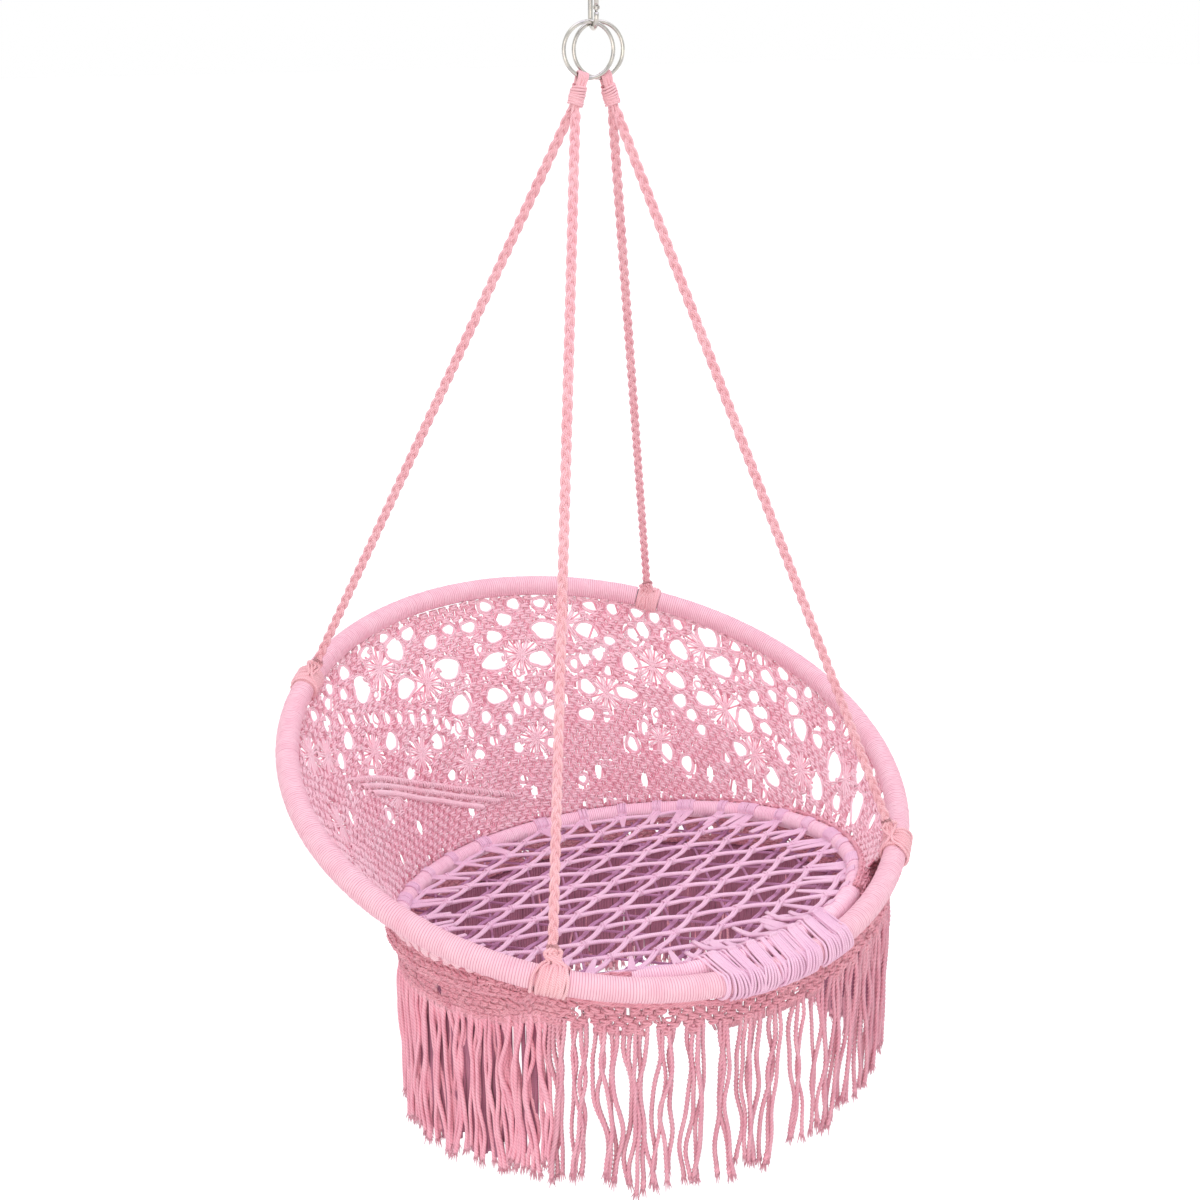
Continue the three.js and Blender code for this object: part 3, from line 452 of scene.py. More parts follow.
def mesh_of(name, parts):
    """A smooth mesh with its cord map. In a part, 0 is its vertices, 1 its quads, 2 their map and 3
    its triangles, whose map stays at zero."""
    vertices = np.concatenate([part[0] for part in parts])
    quads, tris = joined(parts, 1), joined(parts, 3)
    corners = np.concatenate([quads.ravel(), tris.ravel()]).astype(np.int32)
    starts = np.concatenate([np.arange(len(quads)) * 4, len(quads) * 4 + np.arange(len(tris)) * 3])
    maps = np.concatenate([part[2] for part in parts] + [np.zeros((tris.size, 2))])
    mesh = bpy.data.meshes.new(name)
    mesh.vertices.add(len(vertices))
    mesh.vertices.foreach_set("co", (vertices * MM).astype(np.float32).ravel())
    mesh.loops.add(len(corners))
    mesh.loops.foreach_set("vertex_index", corners)
    mesh.polygons.add(len(starts))
    mesh.polygons.foreach_set("loop_start", starts.astype(np.int32))
    mesh.update(calc_edges=True)
    mesh.validate()
    mesh.polygons.foreach_set("use_smooth", np.full(len(mesh.polygons), True))
    mesh.uv_layers.new(name=CORD_MAP).data.foreach_set("uv", maps.astype(np.float32).ravel())
    return mesh, 2 * len(quads) + len(tris)


made = []


def make_piece(name, parts, material, body, nodes, inner=(), inner_material=None):
    """One object from swept parts, riding on a body and standing for its CAD nodes. Its inner parts
    lie in the shade of the others and may have a material of their own."""
    every = [*parts, *inner]
    mesh, triangles = mesh_of(name, every)
    mesh.materials.append(material)
    if inner_material is not None:
        mesh.materials.append(inner_material)
        is_inner = np.arange(len(every)) >= len(parts)
        kinds = [np.repeat(is_inner, [len(part[field]) for part in every]) for field in (1, 3)]
        mesh.polygons.foreach_set("material_index", np.concatenate(kinds).astype(np.int32))
    piece = add_object(name, mesh)
    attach(piece, body)
    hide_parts(*nodes)
    made.append((name, triangles))
    print(f"{name}: {triangles} triangles")
    return piece


# %% [markdown]
# ## Snap hook
# A snap hook is one bent steel wire: a bend at each end, a flat lug where the gate turns on its rivet,
# and a flat tongue that the closed gate slides over. Bending and flattening are kept apart here as a
# swept wire and two small plates with rounded ends, which is how the real one is made too.

# %% Hook wire
HOOK_TURN = math.radians(-19)
HOOK_BEND, HOOK_WIRE = 12.0, 2.7
HOOK_TOP, HOOK_FOOT = 2.7, -51.3
PIVOT_Z, NOSE_Z = -30.3, -11.3
LUG_THICK, HALF_LUG, LUG_ROOT, TONGUE = 1.8, 2.3, 5.0, 4.0
PLATE_BEVEL, PLATE_OVERLAP = 0.14, 1


def turned(part):
    """A part of the hook, turned about the upright axis as the hook hangs."""
    cos, sin = math.cos(HOOK_TURN), math.sin(HOOK_TURN)
    return (part[0] @ np.array([[cos, sin, 0], [-sin, cos, 0], [0, 0, 1]]), *part[1:])


def facing_out(part):
    """The part with its faces turned outwards, judged by its volume."""
    vertices, quads, maps, tris = part
    fans = np.concatenate([quads[:, [0, 1, 2]], quads[:, [0, 2, 3]], tris])
    a, b, c = (vertices[fans[:, i]] for i in range(3))
    volume = np.sum(a * np.cross(b, c))
    return part if volume > 0 else (vertices, quads[:, ::-1], maps, tris[:, ::-1])


def lofted(rings):
    """Vertices, side faces, and the fans of the first and last ring of a form through rings."""
    index = np.arange(len(rings) * len(rings[0])).reshape(len(rings), -1)
    near, far = index[:-1], index[1:]
    quads = np.stack([near, np.roll(near, -1, 1), np.roll(far, -1, 1), far], -1).reshape(-1, 4)
    fan = end_fan(len(rings[0]))
    return np.concatenate(rings), quads, index[0][fan[:, [0, 2, 1]]], index[-1][fan]


def plate(outline):
    """A flat plate at the hook's lug: an outline of places beside the wire's line and heights."""
    outline = np.asarray(outline, float) - vec(HOOK_BEND, 0)
    bevel = LUG_THICK * PLATE_BEVEL
    centre = outline.mean(0)
    spokes = outline - centre
    inner = centre + spokes * (1 - bevel / np.linalg.norm(spokes, axis=1, keepdims=True))
    half = LUG_THICK / 2
    levels = [(inner, -half), (outline, bevel - half), (outline, half - bevel), (inner, half)]
    rings = [np.column_stack([np.full(len(ring), x), ring]) for ring, x in levels]
    vertices, quads, foot, top = lofted(rings)
    return facing_out((vertices, quads[:, ::-1], np.zeros((quads.size, 2)), np.concatenate([top, foot])))


half = np.linspace(0, math.pi, 28)
low_middle, high_middle = HOOK_FOOT + HOOK_BEND, HOOK_TOP - HOOK_BEND
lower_bend = np.stack([0 * half, -HOOK_BEND * np.cos(half), low_middle - HOOK_BEND * np.sin(half)], 1)
upper_bend = np.stack([0 * half, HOOK_BEND * np.cos(half), high_middle + HOOK_BEND * np.sin(half)], 1)
wire_foot, wire_nose = vec(0, -HOOK_BEND, PIVOT_Z - LUG_ROOT), vec(0, -HOOK_BEND, NOSE_Z)
wire_line = np.concatenate([[wire_foot], lower_bend, upper_bend, [wire_nose]])
lug_foot, tip = PIVOT_Z - LUG_ROOT - PLATE_OVERLAP, NOSE_Z - TONGUE
lug = [(-HALF_LUG * math.cos(a), PIVOT_Z + HALF_LUG * math.sin(a)) for a in np.linspace(0, math.pi, 13)]
lug += [(HALF_LUG, lug_foot), (-HALF_LUG, lug_foot)]
tongue = [(-HALF_LUG, NOSE_Z + PLATE_OVERLAP), (HALF_LUG, NOSE_Z + PLATE_OVERLAP)]
tongue += [(HALF_LUG * x, tip + z) for x, z in ((0.92, 0.5), (0.6, 0), (-0.6, 0), (-0.92, 0.5))]
hook_parts = [sweep(wire_line, HOOK_WIRE, 20, side=vec(1, 0, 0)), plate(lug), plate(tongue)]
hook_parts = [turned(part) for part in hook_parts]
make_piece("snap_hook", hook_parts, chromed_steel, "snap_hook", ["snap_hook_body"])

# %% [markdown]
# ## Gate, rivet and spring
# The gate is a rod that is slotted at both ends: two ears stand beside the lug at the rivet, and two
# more close over the tongue. Between them it is solid round the spring. The ears are drawn as the two
# slices of the rod that the slots leave.

# %% Gate, rivet, plunger and spring
GATE_RADIUS, GATE_CHAMFER, GATE_ROUNDING = 2.6, 2.2, 0.5
GATE_FOOT, GATE_TOP = PIVOT_Z - 3.0, NOSE_Z - 0.5
LOW_SLOT_TOP, HIGH_SLOT_FOOT = PIVOT_Z + 2.55, NOSE_Z - 4.5
EAR_START, EAR_ROOT = LUG_THICK / 2 + 0.25, 0.6
# one half of the rivet: distances from its middle, and the radius at each
RIVET_HALF = [(3.6, 0.9), (3.45, 1.55), (2.72, 1.8), (2.7, 1.0)]


def rod_slice(low, high, side_sign):
    """The part of the gate's rod on one side of a slot, from low to high."""
    reach = math.acos(EAR_START / GATE_RADIUS)
    arc = np.linspace(-reach, reach, 13)
    x, y = GATE_RADIUS * np.cos(arc), GATE_RADIUS * np.sin(arc)
    middle = (x.min() + x.max()) / 2
    end = 1 - GATE_ROUNDING / GATE_RADIUS
    rings = []
    for z, share in ((low, end), (low + GATE_ROUNDING, 1), (high - GATE_ROUNDING, 1), (high, end)):
        across = side_sign * (middle + (x - middle) * share)
        rings.append(np.column_stack([across, y * share - HOOK_BEND, np.full(len(arc), z)]))
    vertices, quads, foot, top = lofted(rings)
    return facing_out((vertices, quads, np.zeros((quads.size, 2)), np.concatenate([foot, top])))


rod_heights = (LOW_SLOT_TOP, LOW_SLOT_TOP + 0.02, HIGH_SLOT_FOOT - 0.02, HIGH_SLOT_FOOT)
rod_radii = [GATE_CHAMFER, GATE_RADIUS, GATE_RADIUS, GATE_CHAMFER]
gate_parts = [sweep([vec(0, -HOOK_BEND, z) for z in rod_heights], [rod_radii], 20, side=vec(1, 0, 0))]
for ear_low, ear_high in ((GATE_FOOT, LOW_SLOT_TOP + EAR_ROOT), (HIGH_SLOT_FOOT - EAR_ROOT, GATE_TOP)):
    gate_parts += [rod_slice(ear_low, ear_high, side_sign) for side_sign in (-1, 1)]
gate_parts = [turned(part) for part in gate_parts]
make_piece("gate", gate_parts, chromed_steel, "gate", ["snap_hook_gate"])

rivet = [(-x, radius) for x, radius in RIVET_HALF] + RIVET_HALF[::-1]
rivet_line = [vec(x, -HOOK_BEND, PIVOT_Z) for x, _ in rivet]
rivet_part = turned(sweep(rivet_line, [[radius for _, radius in rivet]], 24, side=vec(0, 0, 1)))
make_piece("gate_rivet", [rivet_part], chromed_steel, "snap_hook", ["snap_hook_rivet"])
dress_solids(["gate_plunger", "gate_spring"], spring_steel)

# %% [markdown]
# ## Rings
# Two welded rings hang side by side on the hook's lower bend and carry the ropes. They are plain round
# wire, so a swept circle is the whole form.

# %% Rings
RING, RING_WIRE, RING_SPACING, RING_LEAN = 28.8, 2.2, 6.6, math.radians(16.9)
RING_SEAT = HOOK_WIRE + RING_WIRE + 0.4
RING_REACH = 2 * RING - RING_SEAT
RING_TURN = math.asin(RING_SPACING / 2 / (RING_REACH * math.sin(RING_LEAN)))
RING_NORMAL = vec(math.sin(RING_TURN), math.cos(RING_TURN), 0)


def ring_lines(side):
    """Where a ring hangs: side is -1 on the left and 1 on the right."""
    ahead = side * RING_SPACING / 2 / math.cos(HOOK_TURN)
    rise = HOOK_BEND - math.sqrt(HOOK_BEND**2 - ahead**2)
    wire = vec(-ahead * math.sin(HOOK_TURN), side * RING_SPACING / 2, HOOK_FOOT + rise)
    pull = vec(side * math.sin(RING_LEAN), 0, -math.cos(RING_LEAN))
    pull = unit(pull - RING_NORMAL * (pull @ RING_NORMAL))
    top = wire - pull * RING_SEAT
    along = unit(np.cross(RING_NORMAL, pull))
    return dict(pull=pull, centre=top + pull * RING, bottom=top + pull * 2 * RING, along=along)


RINGS = {"left": ring_lines(-1), "right": ring_lines(1)}
for name, ring in RINGS.items():
    turn = np.linspace(0, FULL_TURN, 97)[:-1, None]
    circle = ring["centre"] + RING * (np.cos(turn) * ring["pull"] + np.sin(turn) * ring["along"])
    parts = [sweep(circle, RING_WIRE, 16, side=RING_NORMAL, closed=True)]
    make_piece(f"steel_ring_{name}", parts, chromed_steel, "rings", [f"ring_{name}"])

# %% [markdown]
# ## Ropes
# Each rope is a three-strand braid, and each strand is a pair of cords. In a flat braid every strand
# swings from side to side and dips under its neighbour once per swing, so one sine gives the swing and
# a second one at twice the rate gives the dip. The same six cords go on into the rope's head over the
# ring, where they lie side by side, and into the hitch round the hoop.

# %% Braid
ROPE_CORDS, ROPE_CORD, PAIR_GAP, PAIR_ROLL = 6, 1.6, 1.35, 0.5
BRAID_PERIOD, BRAID_SWING, BRAID_DIP, BRAID_SPACING = 45.0, 3.3, 1.75, 2.2
HEAD_NECK, WHIP_LENGTH, HEAD_TAIL, NECK_LENGTH = 13.0, 18.5, 13.0, 38.0
LEG_OFFSET = 2.9 + 0.5 / 2
SHOULDER = RING_WIRE + 1.2 + 1.5
# a braid starts and ends this much inside its neighbours
BRAID_OVERLAP = 0.5

PLACES = {
    "front_left": (-FRONT_ROPE, "left", -1),
    "front_right": (FRONT_ROPE, "right", -1),
    "back_left": (-BACK_ROPE, "left", 1),
    "back_right": (BACK_ROPE, "right", 1),
}


def rope_lines(place):
    """Where a rope runs. back is 1 for a rope that starts behind its ring and -1 in front of it."""
    angle, ring_name, back = PLACES[place]
    ring = RINGS[ring_name]
    start = ring["bottom"] + ring["pull"] * (HEAD_NECK + WHIP_LENGTH) + RING_NORMAL * back * LEG_OFFSET
    foot = hoop_point(HOOP, angle)
    down = unit(foot - start)
    flat = unit(np.cross(down, unit(foot - CAMERA_PLACE)))
    rope = dict(start=start, down=down, flat=flat, face=np.cross(down, flat))
    return rope | dict(length=np.linalg.norm(foot - start), ring=ring, back=back, angle=angle)


def braid_offsets(distance, cord):
    """Sideways and face offsets of cord 0 to 5 of the braid, at a distance from the rope's start."""
    strand, pair = cord // 2, (cord % 2) * 2 - 1
    phase = FULL_TURN * (distance / BRAID_PERIOD + strand / 3)
    swing = BRAID_SWING * np.sin(phase)
    dip = BRAID_DIP * np.sin(2 * phase)
    lean = np.arctan(BRAID_SWING * FULL_TURN / BRAID_PERIOD * np.cos(phase))
    roll = PAIR_ROLL * np.sin(phase)
    return swing + pair * PAIR_GAP * np.cos(lean) * np.cos(roll), dip + pair * PAIR_GAP * np.sin(roll)


def braid_paths(rope, low, high):
    distance = np.linspace(low, high, max(4, int((high - low) / BRAID_SPACING)))
    line = rope["start"] + np.outer(distance, rope["down"])
    paths = []
    for cord in range(ROPE_CORDS):
        aside, face = braid_offsets(distance, cord)
        paths.append(line + np.outer(aside, rope["flat"]) + np.outer(face, rope["face"]))
    return paths


ROPES = {place: rope_lines(place) for place in PLACES}
for place, rope in ROPES.items():
    paths = braid_paths(rope, HEAD_TAIL - BRAID_OVERLAP, rope["length"] - NECK_LENGTH + BRAID_OVERLAP)
    cords = sweep(paths, ROPE_CORD, 6, side=rope["face"])
    make_piece(f"braided_rope_{place}", [cords], pink_cord, "chair", [f"rope_{place}"])
lengths = {place: round(rope["length"] - NECK_LENGTH - HEAD_TAIL) for place, rope in ROPES.items()}
print("rope lengths, mm:", lengths)

# %% [markdown]
# ## Rope heads and whippings
# Over each ring the six cords of two ropes are one: they come up behind the ring, fold over it side by
# side and go down in front. Below the ring both legs are bound by a whipping, a thinner cord wound
# tight round them. The paths start as the braid and change smoothly into the flat row over the ring.

# %% Rope heads
WAIST_PITCH, WAIST_DEPTH, ROW_PITCH = 2.9, 2.7, 2.05
WHIP_RADIUS, WHIP_CORD, WHIP_TURNS, WHIP_RISE = 7.85, 1.42, 8, 5.0


def head_leg(rope):
    """Points (cord, point, 3) from the rope's first braided end up to the ring's side."""
    ring, back = rope["ring"], rope["back"]
    cords = np.arange(ROPE_CORDS)
    across, deep = (cords // 2 - 1) * WAIST_PITCH, (cords % 2 - 0.5) * WAIST_DEPTH
    row = (cords - 2.5) * ROW_PITCH
    waist_across, waist_deep = np.outer(across, ring["along"]), np.outer(deep, RING_NORMAL)
    stations = []
    for distance in np.linspace(HEAD_TAIL, 0, 7):
        share = blend_in(0, HEAD_TAIL * 0.9, distance)
        aside, face = np.array([braid_offsets(distance, cord) for cord in cords]).T
        braided = np.outer(aside, rope["flat"]) + np.outer(face, rope["face"])
        bound = waist_across + waist_deep
        stations.append(rope["start"] + rope["down"] * distance + braided * share + bound * (1 - share))
    for depth in np.linspace(HEAD_NECK + WHIP_LENGTH - 3, HEAD_NECK, 6):
        leg = ring["bottom"] + ring["pull"] * depth + RING_NORMAL * back * LEG_OFFSET
        stations.append(leg + waist_across + waist_deep)
    for share in (0.3, 0.65, 1.0):
        side_way = across * (1 - share) + row * share
        stand_off = back * (LEG_OFFSET * (1 - share) + SHOULDER * share) + deep * (1 - share)
        neck = ring["bottom"] + ring["pull"] * HEAD_NECK * (1 - share)
        stations.append(neck + np.outer(side_way, ring["along"]) + np.outer(stand_off, RING_NORMAL))
    return np.array(stations).transpose(1, 0, 2)


def smooth_line(points, count):
    """A smooth curve through points (..., n, 3), resampled to count points."""
    points = np.asarray(points, float)
    n = points.shape[-2]
    place = np.linspace(0, n - 1, count)
    i = np.minimum(place.astype(int), n - 2)
    t = (place - i)[:, None]
    before, after = np.maximum(i - 1, 0), np.minimum(i + 2, n - 1)
    p0, p1, p2, p3 = (points[..., k, :] for k in (before, i, i + 1, after))
    bend, change = 2 * p0 - 5 * p1 + 4 * p2 - p3, 3 * p1 - p0 - 3 * p2 + p3
    return 0.5 * (2 * p1 + (p2 - p0) * t + bend * t**2 + change * t**3)


def head_cords(name, ring):
    """The cords of a rope head, from the back rope over the ring to the front rope."""
    behind, front = head_leg(ROPES[f"back_{name}"]), head_leg(ROPES[f"front_{name}"])
    row = np.outer((np.arange(ROPE_CORDS) - 2.5) * ROW_PITCH, ring["along"])
    fold = []
    for turn in np.linspace(0, math.pi, 9)[1:-1]:
        over = ring["bottom"] - ring["pull"] * SHOULDER * math.sin(turn)
        fold.append(over + RING_NORMAL * SHOULDER * math.cos(turn) + row)
    fold = np.array(fold).transpose(1, 0, 2)
    paths = smooth_line(np.concatenate([behind, fold, front[:, ::-1]], 1), 90)
    height = (paths - ring["bottom"]) @ ring["pull"]
    # the cords are thin over the ring, swell in the neck and are pressed together by the whipping
    thick = 1.28 + 0.62 * blend_in(2, 9, height) - 0.3 * blend_in(16, 26, height)
    return sweep(paths, thick, 8, side=ring["along"])


def whipping(ring):
    """The cord wound round a rope head, a little uneven and narrower at its top."""
    turn = np.linspace(0, WHIP_TURNS, WHIP_TURNS * 20 + 1)
    span = WHIP_LENGTH + WHIP_RISE - 2 * WHIP_CORD
    depth = HEAD_NECK - WHIP_RISE + WHIP_CORD + span * turn / WHIP_TURNS
    spin = turn * FULL_TURN
    slope = 0.9 * np.sin(spin + 0.7 * turn)
    reach = WHIP_RADIUS + 0.35 * np.sin(turn * 4.1) - 0.9 * (1 - blend_in(0, 2.5, turn))
    round_it = np.outer(np.cos(spin), ring["along"]) + np.outer(np.sin(spin), RING_NORMAL)
    wound = ring["bottom"] + np.outer(depth + slope, ring["pull"]) + reach[:, None] * round_it
    return sweep(wound, WHIP_CORD, 8, side=ring["pull"])


for name, ring in RINGS.items():
    head, whip = [head_cords(name, ring)], [whipping(ring)]
    make_piece(f"rope_head_cords_{name}", head, pink_cord, "chair", [f"rope_head_{name}"])
    make_piece(f"whipping_cord_{name}", whip, pink_cord, "chair", [f"whipping_{name}"])

# %% [markdown]
# ## Cord wound on the hoops
# Both steel hoops are hidden under cord wound side by side. A separate cord for every turn would need
# thousands of rings of faces, so each length is one tube whose outline rises and falls once for every
# turn, on a slant, as a wound cord does. No hand winds evenly: turns are a little thick or thin.

# %% Wound cord
rng = np.random.default_rng(7)
WOUND_RELIEF, WOUND_SAMPLES, WOUND_UNEVEN = 0.8, 5, 0.12


def wound_cord_on(hoop, low, high, pitch, sides):
    """A hoop's covering of wound cord between two angles."""
    turns = round((high - low) * hoop["radius"] / pitch)
    count = turns * WOUND_SAMPLES + 1
    share = np.linspace(0, 1, count)
    angle = low + (high - low) * share
    thick = rng.normal(0, WOUND_UNEVEN, turns + 2)
    f_along = share * turns
    shift = 0.22 * np.sin(f_along * 0.37 + 1.0) + 0.14 * np.sin(f_along * 0.113)
    section = np.arange(sides) / sides
    place = f_along[:, None] + shift[:, None] + section
    across = place - np.floor(place)
    profile = np.sqrt(np.maximum(1 - (2 * across - 1) ** 2, 0))
    which = np.floor(place).astype(int) % (turns + 2)
    radius = hoop["outer"] - WOUND_RELIEF * (1 - profile) + thick[which]
    out, _ = hoop_axes(hoop, angle)
    theta = (section * FULL_TURN)[None, :, None]
    ring = np.cos(theta) * out[:, None] + np.sin(theta) * hoop_normal(hoop)
    vertices = (hoop["centre"] + hoop["radius"] * out)[:, None] + radius[..., None] * ring
    index = np.arange(count * sides).reshape(count, sides)
    near, far = index[:-1], index[1:]
    quads = np.stack([near, far, np.roll(far, -1, 1), np.roll(near, -1, 1)], -1).reshape(-1, 4)
    turns_at = np.stack([place[:-1], place[1:], place[1:] + 1 / sides, place[:-1] + 1 / sides], -1)
    maps = np.stack([0 * turns_at, turns_at], -1).reshape(-1, 2)
    fan = end_fan(sides)
    tris = np.concatenate([index[0][fan], index[-1][fan[:, ::-1]]])
    return facing_out((vertices.reshape(-1, 3), quads, maps, tris))


HITCH_HALF = 17.0
WRAP_END = (HITCH_HALF + 0.3) / HOOP["radius"]
SLIT = 0.3 / SEAT["radius"]
HOOP_PITCH, SEAT_PITCH = 3.0, 2.8
HOOP_WRAPS = {
    "front": (-FRONT_ROPE, FRONT_ROPE),
    "right": (FRONT_ROPE, BACK_ROPE),
    "back": (BACK_ROPE, FULL_TURN - BACK_ROPE),
    "left": (FULL_TURN - BACK_ROPE, FULL_TURN - FRONT_ROPE),
}
for name, (low, high) in HOOP_WRAPS.items():
    parts = [wound_cord_on(HOOP, low + WRAP_END, high - WRAP_END, HOOP_PITCH, 20)]
    nodes = [f"back_hoop_wrap_{name}"]
    make_piece(f"back_hoop_wound_cord_{name}", parts, wound_cord, "chair", nodes)
parts = [wound_cord_on(SEAT, SLIT, FULL_TURN - SLIT, SEAT_PITCH, 16)]
make_piece("seat_hoop_wound_cord", parts, seat_wound_cord, "chair", ["seat_hoop_wrap"])
dress_solids(["back_hoop_tube", "seat_hoop_tube"], drawn_steel)

# %% [markdown]
# ## Rope hitches
# Where a rope reaches the large hoop its six cords spread like fingers over the hoop, outside and
# inside it, and a cord wound round the hoop holds them.

# %% Hitches
HITCH_CORD, FINGER_CORD, FINGERS = 2.2 * 0.9, 1.95, 12
FRONT_FINGER_PITCH, BACK_FINGER_PITCH = 3.7, 2.2


def round_hoop(hoop, angle, theta, reach):
    """A point beside a hoop's line: theta 0 is outwards and 90 degrees is along the hoop's normal."""
    out, _ = hoop_axes(hoop, angle)
    theta = np.asarray(theta, float)[..., None]
    round_it = np.cos(theta) * out + np.sin(theta) * hoop_normal(hoop)
    return hoop["centre"] + hoop["radius"] * out + np.asarray(reach, float)[..., None] * round_it


def wound_ring(angle, half, reach, cord, turns, sway=0.0):
    """A cord wound round the large hoop, over half a length on each side of an angle."""
    turn = np.linspace(0, turns, turns * 16 + 1)
    spin = turn * FULL_TURN
    run = -half + cord + (2 * half - 2 * cord) * turn / turns + sway * np.sin(spin + 1.0)
    line = round_hoop(HOOP, angle + run / HOOP["radius"], spin, reach + 0 * turn)
    return sweep(line, cord, 8, side=vec(0.3, 0.2, 1))


def hitch_fingers(rope):
    """The rope's cords spread over the hoop, each split in two: one goes round outside, one inside."""
    angle = rope["angle"]
    out, _ = hoop_axes(HOOP, angle)
    top_turn = math.atan2(-rope["down"] @ hoop_normal(HOOP), -rope["down"] @ out)
    low = rope["length"] - NECK_LENGTH
    pitch = FRONT_FINGER_PITCH if rope["back"] < 0 else BACK_FINGER_PITCH
    fingers = []
    for finger in range(FINGERS):
        start = []
        for distance in (low, low + 5, low + 10):
            aside, face = braid_offsets(distance, finger % ROPE_CORDS)
            spread = rope["flat"] * aside * (1 + 0.12 * (distance - low))
            start.append(rope["start"] + rope["down"] * distance + spread + rope["face"] * face)
        place_along = (finger - (FINGERS - 1) / 2) * pitch + rng.uniform(-0.8, 0.8)
        arc = top_turn + (1 if finger % 2 else -1) * np.radians([8, 38, 75, 112, 150, 180])
        lean = place_along * vec(0.55, 0.85, 1.0, 1.03, 1.0, 0.95) + rng.uniform(-1.2, 1.2, 6)
        reach = HOOP["outer"] + 2.5 + vec(1.6, 0.4, 0.1, 0.0, 0.0, 0.0) + rng.uniform(-0.3, 0.3)
        fingers.append(np.concatenate([start, round_hoop(HOOP, angle + lean / HOOP["radius"], arc, reach)]))
    return sweep(smooth_line(fingers, 32), FINGER_CORD, 6)


for place, rope in ROPES.items():
    rings = [wound_ring(rope["angle"], HITCH_HALF + 1.0, HOOP["outer"] - 1.65, 1.75, 11)]
    rings.append(wound_ring(rope["angle"], HITCH_HALF, HOOP["outer"] + 1.4, HITCH_CORD, 9, 0.8))
    parts, nodes = [hitch_fingers(rope)], [f"hitch_{place}"]
    make_piece(f"rope_hitch_{place}", parts, pink_cord, "chair", nodes, rings, pink_cord)

# %% [markdown]
# ## Knotted nets
# Macrame is tied row by row: four cords make a square knot, and the next row joins halves of
# neighbouring knots, so that the knots stand in a diagonal lattice. Openings are left where rows are
# skipped, and in a flower the cords run free from a centre to the ring of knots round it. Here each knot
# is two flattened loops round the cords, each link between knots is a pair of cords, and an opening
# pushes its neighbours aside, as it does in a real net.

# %% A net and its openings
KNOT_CORD, LINK_CORD, FILLER_CORD, RIM_CORD = 1.65, 1.4, 1.85, 1.5
# an opening pushes its knots this much farther than its own edge: half a knot's width and height
KNOT_ROOM = vec(5.0, 3.4)
KNOT_FALL, KNOT_SLANT, KNOT_DEPTH, KNOT_UNEVEN = 1.6, 0.16, 2.3, 0.85
LARGE_OPENING, SMALLEST_RIM = 4.8, 3.0
STEM_PLACES, SELVEDGE_PLACES = (-5.4, -3.2, -1.1, 1.1, 3.2, 5.4), (1.6, 4.8)


class Net:
    """A net on a surface. surface(angle, depth) gives points, height(angle) the drop from its upper
    to its lower edge, and face is 1 where the outside is its good side, or -1. Openings and
    flowers are given by degrees, share of the height and sizes in millimetres. The first row lies
    first below the upper edge, the last one at least last above the lower edge, and selvedges says
    whether a cord runs along the upper and the lower edge."""

    def __init__(self, surface, height, radius, column, row, openings, flowers, first=3.5, last=3.0,
                 face=1, selvedges=(True, True)):
        self.surface, self.height, self.radius, self.face = surface, height, radius, face
        self.column, self.row, self.first, self.last = column, row, first, last
        self.openings, self.flowers = self.on_net(openings, 4), self.on_net(flowers, 3)
        self.selvedges = selvedges

    def on_net(self, places, fields):
        """Places with angle and share turned into millimetres along and down the net."""
        spots = []
        for degrees, share, *sizes in places:
            angle = math.radians(degrees)
            spots.append((angle * self.radius, share * self.height(angle), *sizes))
        return np.array(spots).reshape(-1, fields)

    def pushed(self, spots):
        """Spots (n, 2) in millimetres moved aside by the openings: first by a push that dies out with
        distance, then out of any opening that they still lie in."""
        moved = spots.copy()
        for x, d, w, h in self.openings:
            size = vec(w, h) + KNOT_ROOM
            near = np.abs(spots[:, 0] - x) < w * 5
            away = (spots[near] - vec(x, d)) / size
            r = np.maximum(np.linalg.norm(away, axis=1), 1e-6)
            target = np.sqrt(np.maximum(r * r - 0.5, 0) + 1)
            gain = (target / r - 1) * np.exp(-((np.maximum(r - 1, 0) / 0.8) ** 2))
            moved[near] += away * gain[:, None] * size
        for x, d, w, h in self.openings:
            size = vec(w, h) + KNOT_ROOM * 0.85
            near = np.abs(moved[:, 0] - x) < w * 2 + 8
            away = (moved[near] - vec(x, d)) / size
            r = np.maximum(np.linalg.norm(away, axis=1), 1e-6)
            moved[near] = vec(x, d) + away * size * np.maximum(1 / r, 1)[:, None]
        return moved

    def place(self, spots):
        """Points in the chair's space for spots (..., 2) along and down the net."""
        angle = spots[..., 0] / self.radius
        return self.surface(angle, np.clip(spots[..., 1], 0, self.height(angle)))

    def axes(self, spots):
        """Point, sideways, downward and outward directions at spots (..., 2)."""
        step = 0.5
        here = self.place(spots)
        side = unit(self.place(spots + vec(step, 0)) - self.place(spots - vec(step, 0)))
        lowest = self.height(spots[..., 0] / self.radius) - 1
        inside = np.stack([spots[..., 0], np.clip(spots[..., 1], 1, lowest)], -1)
        down = unit(self.place(inside + vec(0, step)) - self.place(inside - vec(0, step)))
        return here, side, down, unit(np.cross(down, side))


def in_any(spots, centres):
    """Which spots lie inside any of the ovals (x, depth, half width, half height)."""
    inside = np.zeros(len(spots), bool)
    for x, d, w, h in centres:
        inside |= (((spots[:, 0] - x) / w) ** 2 + ((spots[:, 1] - d) / h) ** 2) < 1
    return inside


print(f"half a knot needs {KNOT_ROOM[0]:.1f} by {KNOT_ROOM[1]:.1f} mm")

